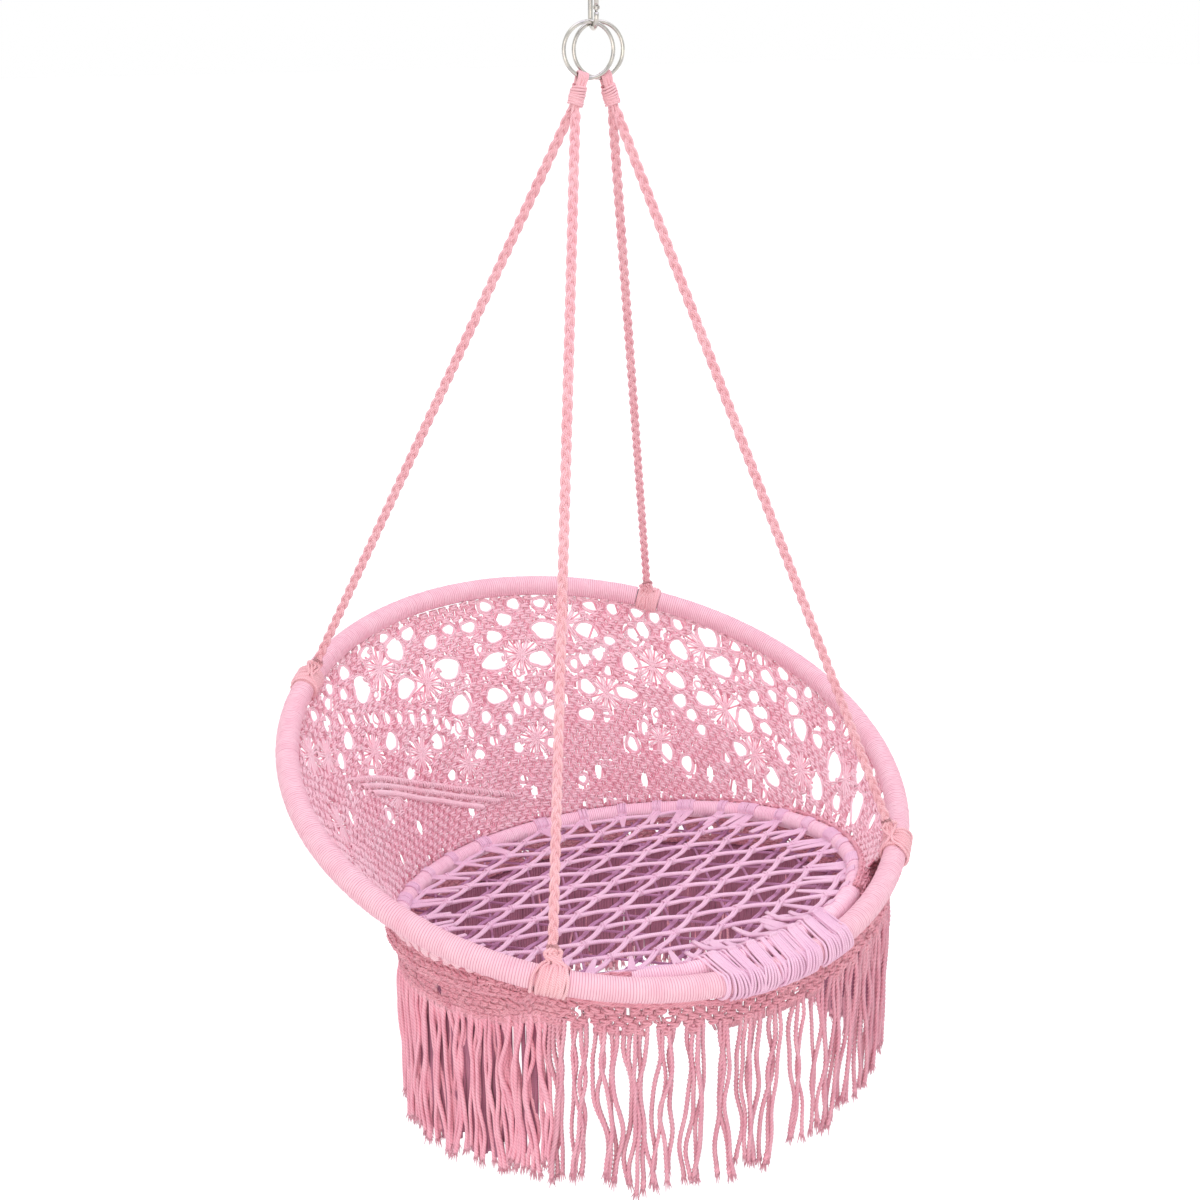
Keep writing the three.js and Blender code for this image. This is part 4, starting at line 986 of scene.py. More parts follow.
# %% [markdown]
# ## The order of the knots
# On the real net the cords hang from the hoop and are tied from the top down, each row between the
# knots of the last. A grid of rows and columns gives the same order: every second row is moved by half
# a column, and a knot hands its cords to the two below it. A hand never ties quite evenly, so each
# knot is moved a little at random.


# %% The lattice
def tie(net, low, high, closed):
    """Spots of a net's knots between two angles, which of them an opening takes away, the links from
    knot to knot, and the stems that join knots to an edge."""
    radius = net.radius
    columns = round((high - low) * radius / net.column)
    pitch = (high - low) * radius / columns
    deepest = max(float(net.height(a)) for a in np.linspace(low, high, 60))
    spots, names = [], {}
    for j in range(int((deepest - net.first) / net.row) + 1):
        for i in range(columns + (0 if closed or j % 2 else 1)):
            x, d = low * radius + (i + 0.5 * (j % 2)) * pitch, net.first + j * net.row
            if d < float(net.height(x / radius)) - net.last:
                names[(i, j)] = len(spots)
                spots.append((x, d))
    spots = np.array(spots)
    holes = net.openings + np.array([0, 0, *KNOT_ROOM])
    rounds = np.column_stack([net.flowers[:, :2], net.flowers[:, 2:] + 3, net.flowers[:, 2:] + 3])
    gone = in_any(spots, np.concatenate([holes * vec(1, 1, 0.7, 0.7), rounds]))
    links, stems = [], []
    for (i, j), k in names.items():
        below = [(i, j + 1), (i - 1, j + 1)] if j % 2 == 0 else [(i + 1, j + 1), (i, j + 1)]
        below = [(c % columns, r) for c, r in below] if closed else below
        lower = [names[b] for b in below if b in names]
        links += [(k, n) for n in lower]
        if not lower:
            stems.append((k, float(net.height(spots[k, 0] / radius))))
        if j == 0:
            stems.append((k, 0.0))
    return spots + rng.normal(0, KNOT_UNEVEN, spots.shape), gone, links, stems


print(f"knots lie up to {KNOT_UNEVEN} mm or so off their grid")

# %% [markdown]
# ## Knots, flowers and rims
# A square knot seen from a step away is two loops round its core, one above the other and slanting
# towards each other. A flower is up to nine cord pairs that meet in a small hub, and an opening is
# rimmed by the cords that go round it. Each is a few short sweeps, made for many places at once.


# %% Knots, flowers and rims
PETALS, PETAL_CORD, BEHIND_CORD, FLOWER_KNOT = 9, 1.6, 1.4, 3.8
# how wide each ring is and how far it stands out: the two rings of a hub, and the two of a rim
HUB_RINGS, RIM_RINGS, HUB_CORD = ((2.8, 1.8), (1.7, 2.8)), ((0.6, 0.0), (3.3, -0.4)), 1.3
# a rim is no true oval: size and count of the waves in it
RIM_WAVES = ((0.09, 2), (0.08, 3), (0.04, 5))


def knot_loops(at, side, down, normal, width, lean, cord):
    """Square knots: two flattened loops one above the other round the cords at each place."""
    parts = []
    turn = circle_angles(7)
    for sense in (1, -1):
        across = width[:, None] * np.cos(turn)
        fall = -KNOT_FALL * sense + (lean[:, None] + KNOT_SLANT * sense) * across
        thick = (KNOT_DEPTH * np.sin(turn))[None, :, None] * normal[:, None]
        loops = at[:, None] + across[..., None] * side[:, None] + fall[..., None] * down[:, None] + thick
        parts.append(sweep(loops, cord, 4, side=down, closed=True))
    return parts


def double_cords(points, normal, gap, cord, lift=0.0, sides=4):
    """Two cords side by side along each line of points."""
    along = unit(points[:, -1] - points[:, 0])[:, None]
    apart = unit(np.cross(normal, along)) * gap
    return [sweep(points + apart * way + normal * lift, cord, sides, side=normal) for way in (-1, 1)]


def petal_parts(net, x, d, r):
    """A flower: double cords that run free from a small hub to a ring of knots, and the shaded cords
    behind them."""
    turn = circle_angles(PETALS) + rng.uniform(-0.06, 0.06, PETALS)
    centre = vec(x, d)
    parts, behind = [], []
    for is_front, shift, reach in ((True, 0.0, r + 3.5), (False, math.pi / PETALS, r + 5.0)):
        way = np.stack([np.cos(turn + shift), np.sin(turn + shift)], 1)
        way = way[~in_any(centre + way * r * 0.9, net.openings * vec(1, 1, 1.05, 1.05))]
        lengths = vec(1.5, r * 0.35, r * 0.7, reach)[None, :, None]
        points, _, _, normal = net.axes(centre + way[:, None] * lengths)
        if not is_front:
            behind.append(sweep(points - net.face * normal * 0.8, BEHIND_CORD, 5, side=normal))
            continue
        bow, lift = vec(0.5, 1.5, 2.0, 1.5)[None, :, None], vec(2.0, 1.5, 1.0, 0.3)[None, :, None]
        parts += double_cords(points, normal, bow, PETAL_CORD, net.face * lift, 5)
        rim_at, _, _, rim_normal = net.axes(centre + way * (r + 4.0))
        outward = unit(points[:, -1] - points[:, 0])
        across = unit(np.cross(outward, rim_normal))
        wide, lean = np.full(len(way), FLOWER_KNOT), rng.uniform(-0.2, 0.2, len(way))
        parts += knot_loops(rim_at, across, outward, rim_normal, wide, lean, LINK_CORD)
    hub, hub_side, hub_down, hub_normal = net.axes(centre[None])
    for size, up in HUB_RINGS:
        spin = circle_angles(10)[:, None]
        circle = hub + size * (np.cos(spin) * hub_side + np.sin(spin) * hub_down) + net.face * up * hub_normal
        parts.append(sweep(circle, HUB_CORD, 5, side=hub_normal[0], closed=True))
    return parts, behind


def rim_parts(net, x, d, w, h):
    """The cords that curve round an opening, two round a large one."""
    turn = circle_angles(16)
    uneven = 1
    for size, waves in RIM_WAVES:
        uneven = uneven + size * np.sin(waves * turn + rng.uniform(0, 6))
    parts = []
    for grow, up in RIM_RINGS[: 2 if w > LARGE_OPENING else 1]:
        oval = np.stack([np.cos(turn) * (w + grow), np.sin(turn) * (h + grow)], 1)
        flat = vec(x, d) + oval * uneven[:, None]
        points, _, _, normal = net.axes(flat)
        points = points + net.face * normal * up
        others = net.openings[np.hypot(net.openings[:, 0] - x, net.openings[:, 1] - d) > 0.01]
        crossed = in_any(flat, others * vec(1, 1, 0.98, 0.98))
        if not crossed.any():
            parts.append(sweep(points, RIM_CORD, 4, side=normal[None], closed=True))
            continue
        middle = np.flatnonzero(~crossed)
        arcs = np.stack([np.roll(points, 1, 0)[middle], points[middle], np.roll(points, -1, 0)[middle]], 1)
        parts.append(sweep(arcs, RIM_CORD, 4, side=normal[middle]))
    return parts


print("a knot is", 2 * (KNOT_FALL + KNOT_CORD), "mm high")

# %% [markdown]
# ## A whole net
# Between its knots a net shows the cords that they are tied round, the pairs that run from knot to
# knot, the ends that go over the hoop and a cord along the edge. Each kind has its own function, and
# the last one puts a net together and keeps what lies in the shade of the knots apart, so that it can
# have a deeper colour.


# %% Fillers, links, stems and the whole net
def pushed_lines(net, lines):
    return net.pushed(lines.reshape(-1, 2)).reshape(lines.shape)


def filler_parts(net, spots):
    """The cords that the knots are tied round, seen between the rows."""
    parts = []
    reach = net.row * 1.05
    for aside in (-2.0, 2.0):
        lines = spots[:, None] + np.array([[aside, -reach], [aside, 0], [aside, reach]])
        points, _, _, out = net.axes(pushed_lines(net, lines))
        parts.append(sweep(points, FILLER_CORD, 3, side=out))
    return parts


def link_parts(net, spots, gone, links, wanted, closed_span):
    """Pairs of cords from a knot to the two below it. closed_span is a closed net's length, or 0."""
    pairs = np.array([(a, b) for a, b in links if not gone[a] and not gone[b]])
    a, b = spots[pairs[:, 0]].copy(), spots[pairs[:, 1]].copy()
    if closed_span:
        wrapped = np.abs(b[:, 0] - a[:, 0]) > closed_span / 2
        b[wrapped, 0] += np.sign(a[wrapped, 0] - b[wrapped, 0]) * closed_span
    lines = a[:, None] + (b - a)[:, None] * vec(0.12, 0.5, 0.88)[None, :, None]
    flat = pushed_lines(net, lines)
    flat = flat[wanted(flat[:, 1, 0])]
    free = ~in_any(flat.reshape(-1, 2), net.openings).reshape(len(flat), -1).any(1)
    short = np.linalg.norm(flat[:, -1] - flat[:, 0], axis=1) < 1.5 * net.column
    points, _, _, out = net.axes(flat[free & short])
    return double_cords(points, out, vec(1.2, 1.7, 1.2)[None, :, None], LINK_CORD)


def stem_parts(net, spots, gone, stems, wanted, cord):
    """The cords from a net's outer knots to the hoop above or below."""
    parts = []
    for to_top in (True, False):
        ups = np.array([(k, edge) for k, edge in stems if (edge == 0.0) == to_top and not gone[k]])
        first = spots[ups[:, 0].astype(int)]
        last = np.column_stack([first[:, 0], ups[:, 1]])
        lines = first[:, None] + (last - first)[:, None] * vec(0.0, 0.5, 1.0)[None, :, None]
        lines = lines[wanted(lines[:, 1, 0])]
        points, along, _, out = net.axes(lines)
        for aside in STEM_PLACES:
            line = points + along * aside + out * rng.uniform(-0.4, 0.4)
            parts.append(sweep(line, cord, 3, side=out))
    return parts


def selvedge_parts(net, low, high, cord):
    """A pair of cords along an edge of the net, over the ends of its stems."""
    x = np.linspace(low, high, 240) * net.radius
    upper = [place + 0 * x for place in SELVEDGE_PLACES if net.selvedges[0]]
    lower = [net.height(x / net.radius) - place for place in SELVEDGE_PLACES if net.selvedges[1]]
    parts = []
    for depth in upper + lower:
        points, _, _, out = net.axes(np.stack([x, depth + 0.5 * np.sin(x / 5.0)], 1))
        parts.append(sweep(points + net.face * out * 0.6, cord, 6, side=out[None]))
    return parts


def net_parts(net, low, high, closed=False, keep=None, width=4.9, knot_cord=KNOT_CORD, narrow=None):
    """The parts of a net between two angles, and its fillers, which lie in the shade of the knots.
    keep holds only what lies between two angles of it, and narrow gives a knot's share of width."""
    spots, gone, links, stems = tie(net, low, high, closed)
    moved = net.pushed(spots)
    low_kept, high_kept = keep or (-math.inf, math.inf)

    def wanted(x):
        return (x / net.radius >= low_kept) & (x / net.radius < high_kept)

    here = ~gone & wanted(moved[:, 0])
    at, side, down, normal = net.axes(moved[here])
    wide = width * rng.uniform(0.84, 1.08, len(at))
    if narrow is not None:
        wide = wide * narrow(spots[here])
    at = at + normal * rng.uniform(-0.6, 0.6, len(at))[:, None]
    parts = knot_loops(at, side, down, normal, wide, rng.uniform(-0.28, 0.28, len(at)), knot_cord)
    fillers = filler_parts(net, spots[here])
    parts += link_parts(net, spots, gone, links, wanted, (high - low) * net.radius if closed else 0)
    parts += stem_parts(net, spots, gone, stems, wanted, knot_cord * 0.95)
    for x, d, r in net.flowers:
        if wanted(x):
            petals, behind = petal_parts(net, x, d, r)
            parts += petals
            fillers += behind
    for x, d, w, h in net.openings:
        if wanted(x) and w > SMALLEST_RIM and d + h < float(net.height(x / net.radius)) - net.last:
            parts += rim_parts(net, x, d, w, h)
    return parts + selvedge_parts(net, max(low, low_kept), min(high, high_kept), knot_cord), fillers


print("a stem has", len(STEM_PLACES), "cords")

# %% [markdown]
# ## The back net
# The back is one net from the large hoop down to the seat hoop, tied in three parts between the
# ropes. Under the hoop is a row of rounded openings, below it flowers with large openings beside them
# and slanting rows of slots, then a dense field, and last a band of upright slits. Three ridges of
# close hitches cross the left half. The places follow the photograph, which shows each side's own.

# %% Back net
NET_RADIUS = 338.0
NET_GAP = 0.8


def net_edges(angle):
    """Upper and lower edge of the net at an angle."""
    big, seat = hoop_point(HOOP, angle), hoop_point(SEAT, angle)
    down = unit(seat - big)
    upper = big + down * (HOOP["outer"] + NET_GAP)
    lower = seat - down * (SEAT["outer"] + NET_GAP)
    return upper, lower


def net_height(angle):
    upper, lower = net_edges(np.asarray(angle, float))
    return np.linalg.norm(lower - upper, axis=-1)


def net_surface(angle, depth):
    upper, lower = net_edges(angle)
    height = np.linalg.norm(lower - upper, axis=-1, keepdims=True)
    return upper + (lower - upper) * (depth[..., None] / height)


print(f"the net is {float(net_height(math.pi)):.0f} mm high at the back")

# %% [markdown]
# ## Where the openings lie
# The openings and flowers make the pattern by which the chair is known, so each large one has its own
# place, read from the photograph by its angle round the hoop and its share of the net's height. The
# row under the hoop, the slits behind the seat and a few small openings only need to look uneven, so
# their sizes, and the places of the last, are drawn at random.

# %% Openings and flowers
# degrees of the openings in the row under the hoop
RIM_HOLES = [
    172.5, 166, 160, 148.5, 143.5, 138, 134, 128.5, 115, 108, 102, 94.5, 87.5, 81, 74, 67, 60, 53,
]
# degrees, share of the height from the upper edge, and radius in millimetres
FLOWERS = [
    (154.5, 0.13, 21), (166.3, 0.27, 20), (147, 0.46, 20), (166.5, 0.65, 18), (135, 0.30, 22),
    (122.5, 0.13, 20), (116.5, 0.45, 21), (107.5, 0.68, 20), (92.5, 0.66, 20), (76, 0.48, 17),
    (134, 0.68, 15),
]
# degrees, share of the height, half width and half height in millimetres
BIG_HOLES = [
    (121.5, 0.06, 12, 14), (160, 0.16, 14, 10), (150, 0.16, 12, 10), (128.5, 0.18, 11, 11),
    (118, 0.2, 14, 12), (173, 0.28, 15, 11), (162, 0.29, 12, 10), (140.5, 0.3, 9, 13),
    (129.5, 0.35, 11, 10), (95, 0.36, 10, 13), (107, 0.39, 11, 8), (174.5, 0.43, 14, 9),
    (142, 0.455, 12, 8), (151.5, 0.43, 9, 9), (111, 0.48, 12, 12), (122, 0.42, 12, 9),
    (81.5, 0.47, 14, 15), (98.5, 0.6, 12, 9), (68, 0.6, 14, 16), (86, 0.73, 13, 13),
    (101.5, 0.79, 13, 9), (112, 0.67, 9, 9), (161.5, 0.54, 9, 9), (152.5, 0.56, 10, 8),
    (171.5, 0.67, 8, 7), (162.5, 0.68, 7, 7), (132.5, 0.74, 8, 10), (127, 0.8, 8, 9),
    (137, 0.12, 7, 11), (139, 0.15, 7, 9), (172, 0.17, 10, 7), (169, 0.1, 9, 9), (177.5, 0.11, 9, 6),
    (98, 0.25, 8, 8), (104, 0.24, 7, 6), (105, 0.48, 9, 7), (113, 0.14, 9, 8), (106, 0.14, 9, 8),
    (99, 0.14, 8, 6), (86, 0.16, 7, 6), (109, 0.31, 8, 8), (89, 0.36, 8, 8), (72, 0.26, 9, 14),
    (128.5, 0.46, 8, 9), (125.5, 0.53, 8, 7), (123, 0.6, 7, 6), (77, 0.74, 8, 10), (85, 0.93, 5, 6),
    (104, 0.92, 5, 5), (93, 0.92, 5, 6), (116, 0.74, 6, 5), (145, 0.2, 6, 6), (148, 0.27, 7, 8),
    (151.5, 0.3, 6, 8), (146, 0.35, 5, 6), (154, 0.32, 7, 7), (164, 0.47, 6, 8), (167, 0.47, 5, 8),
    (170, 0.5, 5, 8), (172.5, 0.54, 5, 7), (175, 0.58, 5, 7), (178.5, 0.51, 6, 8), (178, 0.62, 6, 6),
    (161, 0.42, 6, 7), (156, 0.86, 5, 5), (172, 0.81, 6, 4), (141.5, 0.71, 6, 9), (138, 0.63, 5, 8),
    (58, 0.5, 8, 8),
]
# degrees and share of the height of the slots
SLOTS = [(147, 0.25), (150.5, 0.29), (154, 0.32)]
SLOT_SIZE, LEFT_SLOT_SIZE = (6.0, 7.0), (4.8, 8.0)

# the far left has its own rows; these degrees run from the front round the left side
LEFT_START, LEFT_FROM = 124, 127.0
LEFT_FLOWERS = [
    (157.4, 0.14, 22), (168.2, 0.29, 21), (146, 0.43, 19), (160.5, 0.56, 19), (173.2, 0.68, 17),
    (129, 0.24, 18), (147.5, 0.66, 15),
]
LEFT_HOLES = [
    (150.4, 0.17, 13, 14), (163, 0.1, 12, 12), (162.5, 0.27, 12, 12), (174.8, 0.26, 15, 13),
    (175.5, 0.43, 13, 11), (139.4, 0.3, 9, 10), (152.9, 0.44, 9, 10), (166.2, 0.54, 9, 9),
    (177.3, 0.66, 7, 7), (133.5, 0.33, 8, 8), (142.5, 0.5, 7, 7), (155.4, 0.61, 7, 7),
    (167.7, 0.7, 7, 6), (142, 0.7, 5, 6), (155.2, 0.05, 8, 6), (161, 0.03, 7, 5), (167.5, 0.06, 9, 7),
    (147.2, 0.06, 8, 7), (144.4, 0.13, 6, 6), (138.4, 0.1, 6, 6), (132, 0.07, 6, 6),
    (172.5, 0.13, 9, 8), (141, 0.06, 6, 6), (177.6, 0.1, 7, 6), (168, 0.42, 4, 4), (134.5, 0.16, 5, 6),
]
LEFT_SLOTS = [
    (135.8, 0.15), (140.1, 0.2), (144.1, 0.245), (148.2, 0.285), (151.2, 0.315), (154.5, 0.345),
    (157.9, 0.375), (161.5, 0.405), (164.7, 0.43), (167.7, 0.455), (170.7, 0.49), (173.5, 0.52),
    (176.5, 0.555),
]

HOLE_GROWTH, FLOWER_GROWTH = 1.22, 1.1
RIM_DEPTH = 11.0


def grown(holes):
    return [(a, v, w * HOLE_GROWTH, h * HOLE_GROWTH) for a, v, w, h in holes]


def rim_row():
    """The rounded openings in the row under the hoop."""
    row = []
    for a in RIM_HOLES:
        share = RIM_DEPTH / float(net_height(math.radians(a)))
        row.append((a, share, rng.uniform(7.0, 9.5), rng.uniform(6.5, 8.5)))
    return row


def slit_row():
    """The upright slits low behind the seat."""
    row = []
    for a in np.arange(64, 126, 6.2):
        place = a + rng.uniform(-2.2, 2.2), 0.87 + rng.uniform(-0.07, 0.06)
        row.append((*place, rng.uniform(0.9, 1.9), rng.uniform(2.5, 6.5)))
    return row + [(151, 0.84, 2.6, 4.5), (139, 0.9, 1.4, 2.6), (170, 0.88, 1.4, 2.6)]


openings = rim_row() + grown(BIG_HOLES) + [(a, v, *SLOT_SIZE) for a, v in SLOTS]
slits = slit_row()
openings += slits
left_openings = [place for place in openings if LEFT_START < place[0] < LEFT_FROM] + grown(LEFT_HOLES)
left_openings += [(a, v, *LEFT_SLOT_SIZE) for a, v in LEFT_SLOTS]
left_openings += [place for place in slits if place[0] >= LEFT_FROM]
left_flowers = [place for place in FLOWERS if place[0] < LEFT_FROM] + LEFT_FLOWERS


def from_the_left(places):
    return [(360 - place[0], *place[1:]) for place in places]


# millimetres to one degree along the net, and about its height in millimetres
NET_DEGREE, FIELD_HEIGHT = 5.9, 250
SCATTERED, SCATTER_ROOM = 30, 26


def scattered_openings(taken, flowers):
    """Small openings at places in the field that have room for one."""
    found = []
    while len(found) < SCATTERED:
        a, v = rng.uniform(96, 230), rng.uniform(0.12, 0.56)
        others = [*taken, *found, *flowers]
        near = min(abs(a - b[0]) * NET_DEGREE + abs(v - b[1]) * FIELD_HEIGHT for b in others)
        if near > SCATTER_ROOM:
            found.append((a, v, rng.uniform(3.2, 5.2), rng.uniform(3.2, 5.2)))
    return found


openings += from_the_left(left_openings)
flowers = [(a, v, r * FLOWER_GROWTH) for a, v, r in FLOWERS + from_the_left(left_flowers)]
openings += scattered_openings(openings, flowers)
back_net = Net(
    net_surface, net_height, NET_RADIUS, 14.6, 9.4, openings, flowers, face=-1, selvedges=(False, False)
)
print(len(openings), "openings and", len(flowers), "flowers")

# %% [markdown]
# ## Ridges, and the net in its three parts
# Three ridges of close hitches run down and inwards over the left half of the field. A hitch is a cord
# wound once round another, so each ridge is one long winding. The net is tied whole each time and
# cut where the CAD part has its seams.

# %% Ridges and panels
# degrees from the front round the left side, and share of the height
RIDGE_ANGLES, RIDGE_SHARES = [133.0, 143.2, 155.5, 167.2, 177.2, 184.0], [0.43, 0.53, 0.66, 0.76, 0.83, 0.87]
RIDGES, RIDGE_STEP, RIDGE_LIFT, RIDGE_REACH = 3, 0.036, 1.6, vec(3.4, 2.6)
RIDGE_HITCHES, HITCH_POINTS, RIDGE_CORD = 68, 8, 1.75


def ridge_parts(net):
    """Each ridge is one cord wound along its line, a turn for each hitch."""
    parts = []
    for k in range(RIDGES):
        turn = np.linspace(RIDGE_ANGLES[0] + 3 * k, RIDGE_ANGLES[-1] - 5 * k, RIDGE_HITCHES * HITCH_POINTS)
        share = np.interp(turn, RIDGE_ANGLES, RIDGE_SHARES) + k * RIDGE_STEP
        x = np.radians(360 - turn) * net.radius
        points, _, down, out = net.axes(np.stack([x, share * net.height(x / net.radius)], -1))
        wound = np.arange(len(turn))[:, None] / HITCH_POINTS * FULL_TURN
        round_it = down * np.cos(wound) * RIDGE_REACH[0] + out * np.sin(wound) * RIDGE_REACH[1]
        parts.append(sweep(points + net.face * out * RIDGE_LIFT + round_it, RIDGE_CORD, 4))
    return parts


def upright_field(spots):
    """A knot's share of width: narrower low behind the seat, where the cords stand upright."""
    angle = np.abs(np.degrees(spots[:, 0] / NET_RADIUS) - 180)
    share = spots[:, 1] / net_height(spots[:, 0] / NET_RADIUS)
    return 1 - 0.28 * blend_in(0.5, 0.62, share) * blend_in(14, 20, angle) * (1 - blend_in(52, 60, angle))


NET_START, SEAM = math.radians(43.6), math.radians(132.7)
# an outer part also keeps the knots that the openings push past its end
END_ROOM = 0.1
PANELS = {
    "right": (NET_START - END_ROOM, SEAM),
    "middle": (SEAM, FULL_TURN - SEAM),
    "left": (FULL_TURN - SEAM, FULL_TURN - NET_START + END_ROOM),
}
# each part is tied from the same draws, so that the knots of neighbours meet at the seam
state = rng.bit_generator.state
for name, keep in PANELS.items():
    rng.bit_generator.state = state
    parts, fillers = net_parts(back_net, NET_START, FULL_TURN - NET_START, keep=keep, narrow=upright_field)
    if name == "middle":
        parts += ridge_parts(back_net)
    nodes = [f"back_net_{name}"]
    make_piece(f"macrame_net_{name}", parts, net_cord, "chair", nodes, fillers, filler_cord)

# %% [markdown]
# ## The hem
# A narrow net hangs under both hoops and ends in the row that carries the fringe. Its upper edge follows
# the large hoop in front and the seat hoop behind, and passes from one to the other at the sides.

# %% Hem
HEM_DROP, HEM_RADIUS, HEM_CORD, HEM_KNOT = 58.0, 325.0, 1.9, 5.2


def turned_from_front(angle):
    """How far an angle is from the chair's front, on either side."""
    return np.abs((angle + math.pi) % FULL_TURN - math.pi)


def hem_lines(angle):
    """The point over the hem at an angle, on or between the hoops, and how far below it the hem starts."""
    angle = np.asarray(angle, float)
    turned_by = turned_from_front(angle)
    share = blend_in(math.radians(30), math.radians(66), turned_by)[..., None]
    big, seat = hoop_point(HOOP, angle), hoop_point(SEAT, angle)
    point = big + (seat - big) * share
    lashed = 1 - blend_in(math.radians(14), math.radians(17), turned_by)
    big_top = point[..., 2] - HOOP["outer"] - 0.5 - lashed * 4.6
    seat_top = seat[..., 2] - SEAT["outer"] - 0.5
    mixed = blend_in(0.5, 0.85, share[..., 0])
    top = big_top + (seat_top - big_top) * mixed
    return point, point[..., 2] - top


def hem_height(angle):
    return HEM_DROP - hem_lines(angle)[1]


def hem_surface(angle, depth):
    point, top = hem_lines(angle)
    return point - (top + depth)[..., None] * Z_UP


HEM_PLACES = 44
hem_openings = []
for k in range(HEM_PLACES):
    degrees = 360 / HEM_PLACES * (k + 0.5) + rng.uniform(-2.0, 2.0)
    if rng.random() < 0.5:
        hem_openings.append((degrees, rng.uniform(0.36, 0.6), rng.uniform(2.4, 4.0), rng.uniform(2.2, 3.6)))
# in front the lowest rows part into upturned forks, between which the light shows
for degrees in np.arange(-40, 41, 5.0):
    place = degrees % 360, rng.uniform(0.88, 0.94)
    hem_openings.append((*place, rng.uniform(3.0, 5.0), rng.uniform(4.5, 7.5)))
hem_net = Net(
    hem_surface, hem_height, HEM_RADIUS, 12.6, 8.4, hem_openings, [], 4.0, 2.5, selvedges=(True, False)
)
hem_parts, hem_fillers = net_parts(hem_net, 0.0, FULL_TURN, closed=True, width=HEM_KNOT, knot_cord=HEM_CORD)

# the hem's cords are tied over the outside of the seat hoop, from the lower edge of the back net
COVER_START, COVER_DEPTH, COVER_REACH = math.radians(35), 34.0, SEAT["outer"] + 2.3
COVER_TOP, COVER_ARC = math.radians(72), math.radians(148)


def cover_height(angle):
    return COVER_DEPTH + 0 * np.asarray(angle, float)


def cover_surface(angle, depth):
    theta = COVER_TOP - depth / COVER_DEPTH * COVER_ARC
    return round_hoop(SEAT, angle, theta, COVER_REACH + 0 * depth)


cover_net = Net(cover_surface, cover_height, SEAT["radius"] + SEAT["outer"], 12.6, 7.6, [], [], 4.0)
cover_end = FULL_TURN - COVER_START
cover_parts, cover_fillers = net_parts(cover_net, COVER_START, cover_end, width=HEM_KNOT, knot_cord=HEM_CORD)
parts, fillers = hem_parts + cover_parts, hem_fillers + cover_fillers
# the hem's fillers take the painted shade of a deeper copy of the cord
make_piece("macrame_hem", parts, hem_cord, "chair", ["hem_band"], fillers, shaded_filler_cord)

# %% [markdown]
# ## The fringe
# The cords of the hem hang on as the fringe, in bunches of three to seven. Each is a thick cord of
# three plies that shows its twist, hangs in slow waves and has come open at its end into a small tuft.
# In front the twist is real geometry, because it breaks the outline of every cord against the light.
# At the sides and the back it is drawn, and a plain inner row fills the gaps with shade.

# %% Fringe
FRINGE_CORD, PLY_PITCH, CLUMPS = 3.0, 17.0, 18
FRINGE_LENGTH, FRINGE_UNEVEN, FRINGE_SWAY, FRINGE_RISE = 208.0, 16.0, 7.0, 12.0
QUARTER = math.pi / 2
TUFT_FIBRES, TUFT_SIZES = 9, [[1.0, 0.8, 0.35]]


def across_and_along(angle):
    """Level directions outwards from the chair and along its hem."""
    return vec(math.sin(angle), -math.cos(angle), 0), vec(math.cos(angle), math.sin(angle), 0)


def clump_crowd(angle, lobes):
    """More or fewer cords in a clump: the front crowds at its ends, the sides thin out towards it."""
    from_front = turned_from_front(angle)
    if lobes:
        return 2.0 * float(blend_in(0.45, 0.78, from_front))
    return -1.5 * float(1 - blend_in(0.79, 1.1, from_front))


def fringe_line(angle, base, order, length, sway, stir, pull_at, pull):
    """One cord of a clump, from inside the hem down to its end."""
    share = np.linspace(0, 1, 15)
    own_angle = angle + base / HEM_RADIUS
    point, _ = hem_lines(own_angle)
    out, along = across_and_along(own_angle)
    own = length - rng.uniform(0, 16)
    waves = rng.uniform(0.5, 1.5)
    phase, other, small = rng.uniform(0, FULL_TURN, 3)
    loose = stir * blend_in(0, 0.3, share)
    swing = rng.uniform(1.5, 5.0) * np.sin(waves * FULL_TURN * share + phase)
    swing = loose * (swing + rng.uniform(0.4, 1.3) * np.sin(2.7 * FULL_TURN * share + small))
    depth_swing = loose * rng.uniform(1.0, 3.0) * np.sin(waves * 0.8 * FULL_TURN * share + other)
    gather = -base * pull * np.exp(-(((share - pull_at) / 0.3) ** 2))
    aside = sway * share**1.5 + swing + gather
    in_out = ((order % 3) - 1) * 3.1 * blend_in(0.0, 0.15, share) + depth_swing
    fall = np.outer(HEM_DROP - FRINGE_RISE + (own + FRINGE_RISE) * share, Z_UP)
    return point + np.outer(aside, along) + np.outer(in_out, out) - fall


def tuft(line, angle):
    """The open end of a cord: thin bundles of fibre that flare from it."""
    out, along = across_and_along(angle)
    foot, way = line[-1], unit(line[-1] - line[-2])
    spin = rng.uniform(0, FULL_TURN)
    fibres = []
    for t in range(TUFT_FIBRES):
        lean = spin + t / TUFT_FIBRES * FULL_TURN
        flare = (math.cos(lean) * along + math.sin(lean) * out) * rng.uniform(1.8, 3.8)
        reach = rng.uniform(8, 16)
        start = foot - way * 3 + flare * 0.3
        end = start + way * reach + flare * rng.uniform(0.7, 1.3)
        fibres.append([start, start + way * reach * 0.5 + flare * 0.55, end])
    return fibres


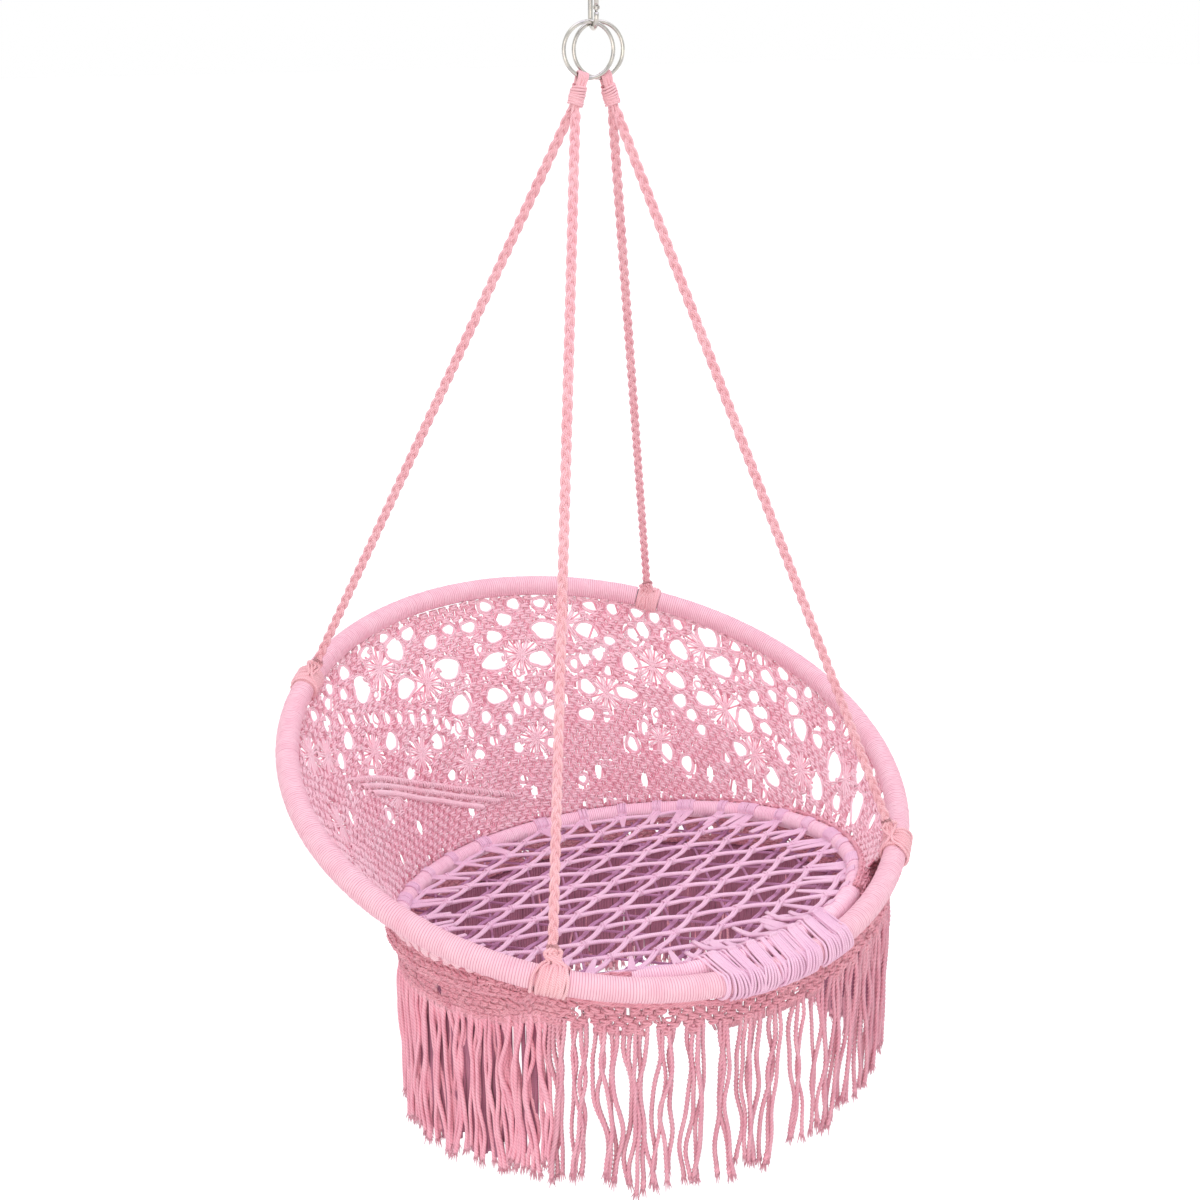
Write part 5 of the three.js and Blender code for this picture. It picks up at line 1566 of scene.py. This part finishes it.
def fringe_parts(first_clump, from_angle, fewest, most, points, lobes, stir, thick):
    """A quarter of the fringe. Each clump has fewest to most cords, and stir sets how far they wander."""
    cords, tufts = [], []
    room = QUARTER / CLUMPS * HEM_RADIUS
    for i in range(CLUMPS):
        index = first_clump + i
        angle = from_angle + QUARTER * (i + 0.5) / CLUMPS
        length = FRINGE_LENGTH - FRINGE_UNEVEN * (0.5 + 0.5 * math.sin(index * 2.4))
        sway = FRINGE_SWAY * math.sin(index * 1.7)
        count = max(3, round(rng.integers(fewest, most + 1) + clump_crowd(angle, lobes)))
        pull_at, pull = rng.uniform(0.25, 0.9), rng.uniform(0.15, 0.75) * min(stir, 1)
        pitch, widening = min(room / count, 5.2), 1.0 if lobes else 1.02
        for order in range(count):
            base = (order - (count - 1) / 2) * pitch * widening + rng.normal(0, 0.5)
            line = fringe_line(angle, base, order, length, sway, stir, pull_at, pull)
            cords.append(smooth_line(line, points))
            tufts += tuft(line, angle + base / HEM_RADIUS)
    taper = thick * (1 + 0.12 * blend_in(0.9, 1, np.linspace(0, 1, points)))
    own_sizes = taper[None] * rng.uniform(0.82, 1.06, (len(cords), 1))
    return [sweep(cords, own_sizes, 6, lobes=lobes, lobe_pitch=PLY_PITCH), sweep(tufts, TUFT_SIZES, 3)]


def hidden_row(from_angle, pitch):
    """The fringe's inner row: plain cords side by side, a little shorter than those in front."""
    count = int(QUARTER * HEM_RADIUS / pitch)
    share = np.linspace(0, 1, 16)
    cords = []
    for i in range(count):
        angle = from_angle + QUARTER * (i + 0.5) / count
        if rng.random() > 0.25 + 0.75 * blend_in(0.85, 1.2, turned_from_front(angle)):
            continue
        point, _ = hem_lines(angle)
        out, along = across_and_along(angle)
        own = FRINGE_LENGTH - rng.uniform(12, 44)
        aside = 1.1 * np.sin(rng.uniform(0.4, 1.2) * FULL_TURN * share + rng.uniform(0, 6)) * share
        inward = np.outer(5.4 + rng.uniform(-1, 1) + 0 * share, out)
        fall = np.outer(HEM_DROP - 6 + (own + 6) * share, Z_UP)
        cords.append(point + np.outer(aside, along) - inward - fall)
    return [sweep(smooth_line(cords, 30), FRINGE_CORD * 0.95, 5)]


# quarter, fewest and most cords in a clump, points along a cord, plies modelled, stir, thickness, and
# pitch of the inner row, which the front doesn't have
FRINGE_QUARTERS = [
    ("right", 5, 6, 44, 0, 1.2, 2.9, 5.0),
    ("back", 5, 6, 40, 0, 0.9, 2.9, 5.0),
    ("left", 5, 6, 44, 0, 1.2, 2.9, 5.0),
    ("front", 3, 5, 100, 3, 1.25, 3.3, 0),
]
for index, (name, *settings, row_pitch) in enumerate(FRINGE_QUARTERS):
    from_angle = QUARTER / 2 + QUARTER * index
    parts = fringe_parts(index * CLUMPS, from_angle, *settings)
    row = hidden_row(from_angle, row_pitch) if row_pitch else []
    nodes, inner_material = [f"fringe_{name}"], shaded_cord if row else None
    make_piece(f"fringe_cords_{name}", parts, loose_cord, "chair", nodes, row, inner_material)

# %% [markdown]
# ## The seat net
# The seat is an open net of long diamonds. Double cords cross from rim to rim, and each crossing is
# bound by a short wrapped knot. At the seat hoop every pair spreads into a small fan that goes over it.

# %% Seat net
SEAT_LONG, SEAT_SHORT, SEAT_CORD = 92.8, 55.6, 2.0
SEAT_REACH = SEAT["radius"] - SEAT["outer"] + 2.0
SEAT_SAG, SEAT_WEAVE, SEAT_WANDER = 3.0, 0.9, 1.6
seat_across, seat_out = vec(1, 0, 0), vec(0, math.cos(SEAT["tilt"]), math.sin(SEAT["tilt"]))
seat_up = hoop_normal(SEAT)


def on_seat(x, y, lift):
    """Points of the seat: x to the chair's right, y backwards and lift above the plane of the hoop."""
    lifted = np.multiply.outer(lift + 0 * np.asarray(x, float), seat_up)
    return SEAT["centre"] + np.multiply.outer(x, seat_across) + np.multiply.outer(y, seat_out) + lifted


def seat_lines(direction, offset):
    """The lines of one direction of the diamonds: slope, height at the middle and both ends."""
    slope = direction * SEAT_SHORT / SEAT_LONG
    lines = []
    for k in range(-14, 15):
        rise = SEAT_SHORT * (k + 0.5) + offset
        a, b, c = 1 + slope**2, 2 * slope * rise, rise**2 - SEAT_REACH**2
        root = b * b - 4 * a * c
        if root > 900:
            lines.append((slope, rise, (-b - math.sqrt(root)) / (2 * a), (-b + math.sqrt(root)) / (2 * a)))
    return lines


def seat_sag(x, y):
    return -SEAT_SAG * (1 - (np.asarray(x) ** 2 + np.asarray(y) ** 2) / SEAT_REACH**2)


def seat_layer(offset, lift, cord, gap):
    """Double cords along both directions of the diamonds, and the places where they meet the hoop."""
    parts, ends = [], []
    for direction in (1, -1):
        for slope, rise, x0, x1 in seat_lines(direction, offset):
            x = np.linspace(x0, x1, max(8, int((x1 - x0) / 7)))
            cell = x / (SEAT_LONG / 2) * math.pi
            pinch = np.abs(np.sin(cell))
            y = slope * x + rise + SEAT_WANDER * np.sin(2 * cell + direction)
            apart = unit(vec(-slope, 1))
            wide = gap * (0.8 + 0.35 * (1 - pinch))
            level = lift + seat_sag(x, y) + SEAT_WEAVE * direction * np.cos(cell)
            for side_sign in (-1, 1):
                line = on_seat(x + apart[0] * wide * side_sign, y + apart[1] * wide * side_sign, level)
                parts.append(sweep(line, cord, 6, side=seat_up))
            ends += [(x[end], y[end]) for end in (0, -1)]
    return parts, ends


def crossing_knots():
    """A short wrapping where two double cords cross."""
    parts = []
    turn = circle_angles(12)
    for i in range(-12, 13):
        for j in range(-22, 23):
            x, y = i * SEAT_LONG / 2, j * SEAT_SHORT / 2
            if (i + j) % 2 == 0 or math.hypot(x, y) > SEAT_REACH - 14:
                continue
            lean = rng.uniform(-2.0, 2.0)
            for step in (-1.5, 1.5):
                centre = on_seat(x + step, y + rng.normal(0, 0.4), seat_sag(x, y))
                ring = centre + np.outer(np.cos(turn) * 4.6, seat_out) + np.outer(np.sin(turn) * 3.6, seat_up)
                ring = ring + np.outer(np.cos(turn) * lean, seat_across)
                parts.append(sweep(ring, 1.5, 6, side=seat_across, closed=True))
    return parts


def seat_fans(ends):
    """Each pair of cords spreads and goes over the seat hoop, in front only to its top."""
    parts = []
    starts = vec(0.80, 0.88)
    for x, y in ends:
        angle = math.atan2(x, -y)
        front = abs(angle) < math.radians(46)
        arc = np.radians([178, 150, 120, 92] if front else [178, 150, 115, 80, 45, 10, -25])
        for k in range(-2, 3):
            finish = angle + (k * 2.7 + rng.normal(0, 0.3)) / SEAT["radius"]
            apart = k * vec(0.5, 1.5)
            from_x, from_y = x * starts + apart * math.cos(angle), y * starts + apart * math.sin(angle)
            start = on_seat(from_x, from_y, 0.6 + seat_sag(x, y))
            over = round_hoop(SEAT, finish, arc, SEAT["outer"] + 0.75 + 0 * arc)
            line = smooth_line(np.concatenate([start, over]), 20)
            parts.append(sweep(line, 1.35, 6, side=vec(0.2, 0.1, 1)))
    return parts


def lower_cords(lift):
    """Single cords of the second layer, which cross the diamonds at other angles."""
    parts = []
    for degrees, shift in ((62, 10), (118, -6)):
        way = vec(math.cos(math.radians(degrees)), math.sin(math.radians(degrees)))
        for k in range(-4, 5):
            off = k * 58.0 + shift + rng.uniform(-9, 9)
            half = math.sqrt(max(SEAT_REACH**2 - off**2, 0)) - 1
            if half < 40:
                continue
            t = np.linspace(-half, half, 14)
            x, y = way[0] * t - way[1] * off, way[1] * t + way[0] * off
            line = on_seat(x, y, lift + seat_sag(x, y) + rng.uniform(-1.5, 1.5))
            parts.append(sweep(line, 1.7, 6, side=seat_up))
    return parts


seat_parts, seat_ends = seat_layer(0.0, 0.0, SEAT_CORD, 1.9)
under_parts, _ = seat_layer(SEAT_SHORT / 2, -9.0, 1.5, 1.6)
seat_parts += crossing_knots() + seat_fans(seat_ends)
under_parts += lower_cords(-13.0)
nodes = ["seat_net"]
# the seat's lower layer takes the painted shade of the mauve copy of the cord
make_piece("seat_diamond_net", seat_parts, pale_cord, "chair", nodes, under_parts, mauve_cord)

# %% [markdown]
# ## The front lashing
# At the front the two hoops touch and are bound together by a long winding of cord. Its turns lie in
# bunches of three or four, and more cords fan into it from the front knots of the seat net, over both
# hoops and down to the hem.

# %% Lashing
LASH_HALF, LASH_TURNS, LASH_STEPS, LASH_CORD, VALLEY = 92.0, 45, 24, 1.65, 3.2
FANS, FAN_CORDS, FAN_CORD, FAN_HALF, FAN_PITCH = 7, 5, 1.6, 78, 4.6


def round_both(x_place, turn, extra):
    """Points of a loop round both hoops at a place along the front. turn 0 is on the seat hoop's side,
    and extra is the room between the loop and the hoops."""
    angle = x_place / HOOP["radius"]
    big = hoop_point(HOOP, angle)
    seat = hoop_point(SEAT, np.arcsin(np.clip(big[..., 0] / SEAT["radius"], -1, 1)))
    towards = unit(seat - big)
    along = hoop_axes(HOOP, angle)[1]
    aside = unit(np.cross(along, towards))
    out = np.cos(turn)[..., None] * towards + np.sin(turn)[..., None] * aside
    apart = np.linalg.norm(seat - big, axis=-1)
    on = (np.cos(turn) > (HOOP["outer"] - SEAT["outer"]) / apart)[..., None]
    core = np.where(on, seat, big)
    edge = math.acos((HOOP["outer"] - SEAT["outer"]) / float(np.mean(apart)))
    from_edge = np.abs(np.arccos(np.clip(np.cos(turn), -1, 1)) - edge)
    valley = VALLEY * np.exp(-((from_edge / 0.35) ** 2))
    reach = np.where(on[..., 0], SEAT["outer"], HOOP["outer"]) + extra - valley
    return core + out * reach[..., None]


def lashing_turns():
    """The winding itself: one cord whose turns lie in bunches."""
    turn = np.arange(LASH_TURNS * LASH_STEPS + 1) / LASH_STEPS
    even = -LASH_HALF + 2 * LASH_HALF * turn / LASH_TURNS
    slant = 3.4 * np.sin(turn * FULL_TURN + 2.4 * np.sin(turn * 0.31)) * np.sin(turn * 0.9)
    bunched = even + 1.9 * np.sin(even / 21.0 * FULL_TURN) + slant
    room = 0.3 + LASH_CORD + 0.45 * np.sin(turn * 2.1) + 0.35 * np.sin(turn * 5.3 + 1)
    return sweep(round_both(bunched, turn * FULL_TURN, room), LASH_CORD, 6, side=vec(0, 1, 0.2))


def lashing_fans():
    """Cords that come out of the seat net side by side and go over the winding and round the hoops."""
    parts = []
    turn, spread = np.radians([58, 78, 92, 106, 122, 142, 166, 192, 222.0]), np.linspace(0.42, 1.15, 9)
    for k in range(FANS):
        x = -FAN_HALF + 2 * FAN_HALF * k / (FANS - 1) + rng.uniform(-5, 5)
        y = -math.sqrt(SEAT_REACH**2 - x**2) + (62 if k % 2 else 38) * vec(1, 0.5)
        slant = rng.uniform(-16, 16)
        for c in range(FAN_CORDS):
            offset = (c - (FAN_CORDS - 1) / 2) * FAN_PITCH + rng.uniform(-0.5, 0.5)
            start = on_seat(x + offset * vec(0.12, 0.3), y, 3.0)
            along = x + offset * spread + slant * (spread - 0.4)
            over = round_both(along, turn, 0.3 + 2.8 * LASH_CORD + rng.uniform(-0.3, 0.5))
            line = smooth_line(np.concatenate([start, over]), 30)
            parts.append(sweep(line, FAN_CORD, 6, side=vec(1, 0, 0.1)))
    return parts


parts = [lashing_turns(), *lashing_fans()]
make_piece("front_lashing_cord", parts, pale_cord, "chair", ["front_lashing"])

# %% [markdown]
# ## Floor, light and background
# The chair hangs over a plain pale floor in an evenly lit studio. Two wide lamps stand above it, and
# the pale world fills the shadows. The camera and reflections see the world as plain white.

# %% Floor
FLOOR_Z, FLOOR_HALF = -1.78, 60.0
floor_corners = [(x * FLOOR_HALF, y * FLOOR_HALF, FLOOR_Z) for x, y in ((-1, -1), (1, -1), (1, 1), (-1, 1))]
floor_mesh = bpy.data.meshes.new("studio_floor")
floor_mesh.from_pydata(floor_corners, [], [(0, 1, 2, 3)])
floor = add_object("studio_floor", floor_mesh)
floor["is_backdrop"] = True


def matt_paint(material, code):
    return add_node(material, "ShaderNodeBsdfDiffuse", {"Color": linear(code), "Roughness": 0.9}).outputs[0]


# painted_floor: matt white paint. The camera sees it at full white, less the shadow that falls on it.
painted_floor = new_material("matt_white_painted_floor")
glow = add_node(painted_floor, "ShaderNodeEmission", {"Color": linear("#ffffff"), "Strength": 0.76})
lit = {0: matt_paint(painted_floor, "#bcbcbc"), 1: glow.outputs[0]}
lit_paint = add_node(painted_floor, "ShaderNodeAddShader", lit)
faces = {0: seen_directly(painted_floor), 1: matt_paint(painted_floor, "#f2f1f1"), 2: lit_paint.outputs[0]}
finish_material(painted_floor, add_node(painted_floor, "ShaderNodeMixShader", faces))
floor_mesh.materials.append(painted_floor)
print("the floor lies at", FLOOR_Z, "m")

# %% World
world = bpy.data.worlds.new("studio_air")
bpy.context.scene.world = world
world.use_nodes = True
world.node_tree.nodes.clear()
fill = add_node(world, "ShaderNodeBackground", {"Color": linear("#fdf3f6"), "Strength": 0.96})
white = add_node(world, "ShaderNodeBackground", {"Color": linear("#ffffff"), "Strength": 1.0})
air = {0: seen_directly(world), 1: fill.outputs[0], 2: white.outputs[0]}
mixed = add_node(world, "ShaderNodeMixShader", air)
add_node(world, "ShaderNodeOutputWorld", {"Surface": mixed.outputs[0]})
print("world:", world.name)


# %% Lamps
def lamp(name, place, aim, size, power, colour):
    """A soft square lamp that faces its aim, in metres and watts."""
    light = bpy.data.lights.new(name, "AREA")
    light.shape, light.size, light.energy, light.color = "SQUARE", size, power, linear(colour)[:3]
    away = unit(vec(*place) - vec(*aim))
    side = unit(np.cross(vec(0, 0.01, 1), away))
    add_object(name, light).matrix_world = standing(place, side, np.cross(away, side), away)


CHAIR_MIDDLE = (0.0, 0.0, -1.0)
lamp("overhead_softbox", (0.3, -0.3, 1.6), CHAIR_MIDDLE, 2.6, 24.5, "#ece2ff")
lamp("front_softbox", (-2.2, -2.6, -0.2), CHAIR_MIDDLE, 2.4, 26, "#fff1ea")
print("lamps:", [light.name for light in bpy.data.lights])

# %% View
bpy.context.scene.view_settings.view_transform = "Standard"
visual_box = [list(map(float, corner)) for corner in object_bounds()]
print("triangles in all:", sum(count for _, count in made))
grown_by = [[round((v - c) / MM, 1) for v, c in zip(a, b)] for a, b in zip(visual_box, cad_box)]
print("grown by, mm:", grown_by)
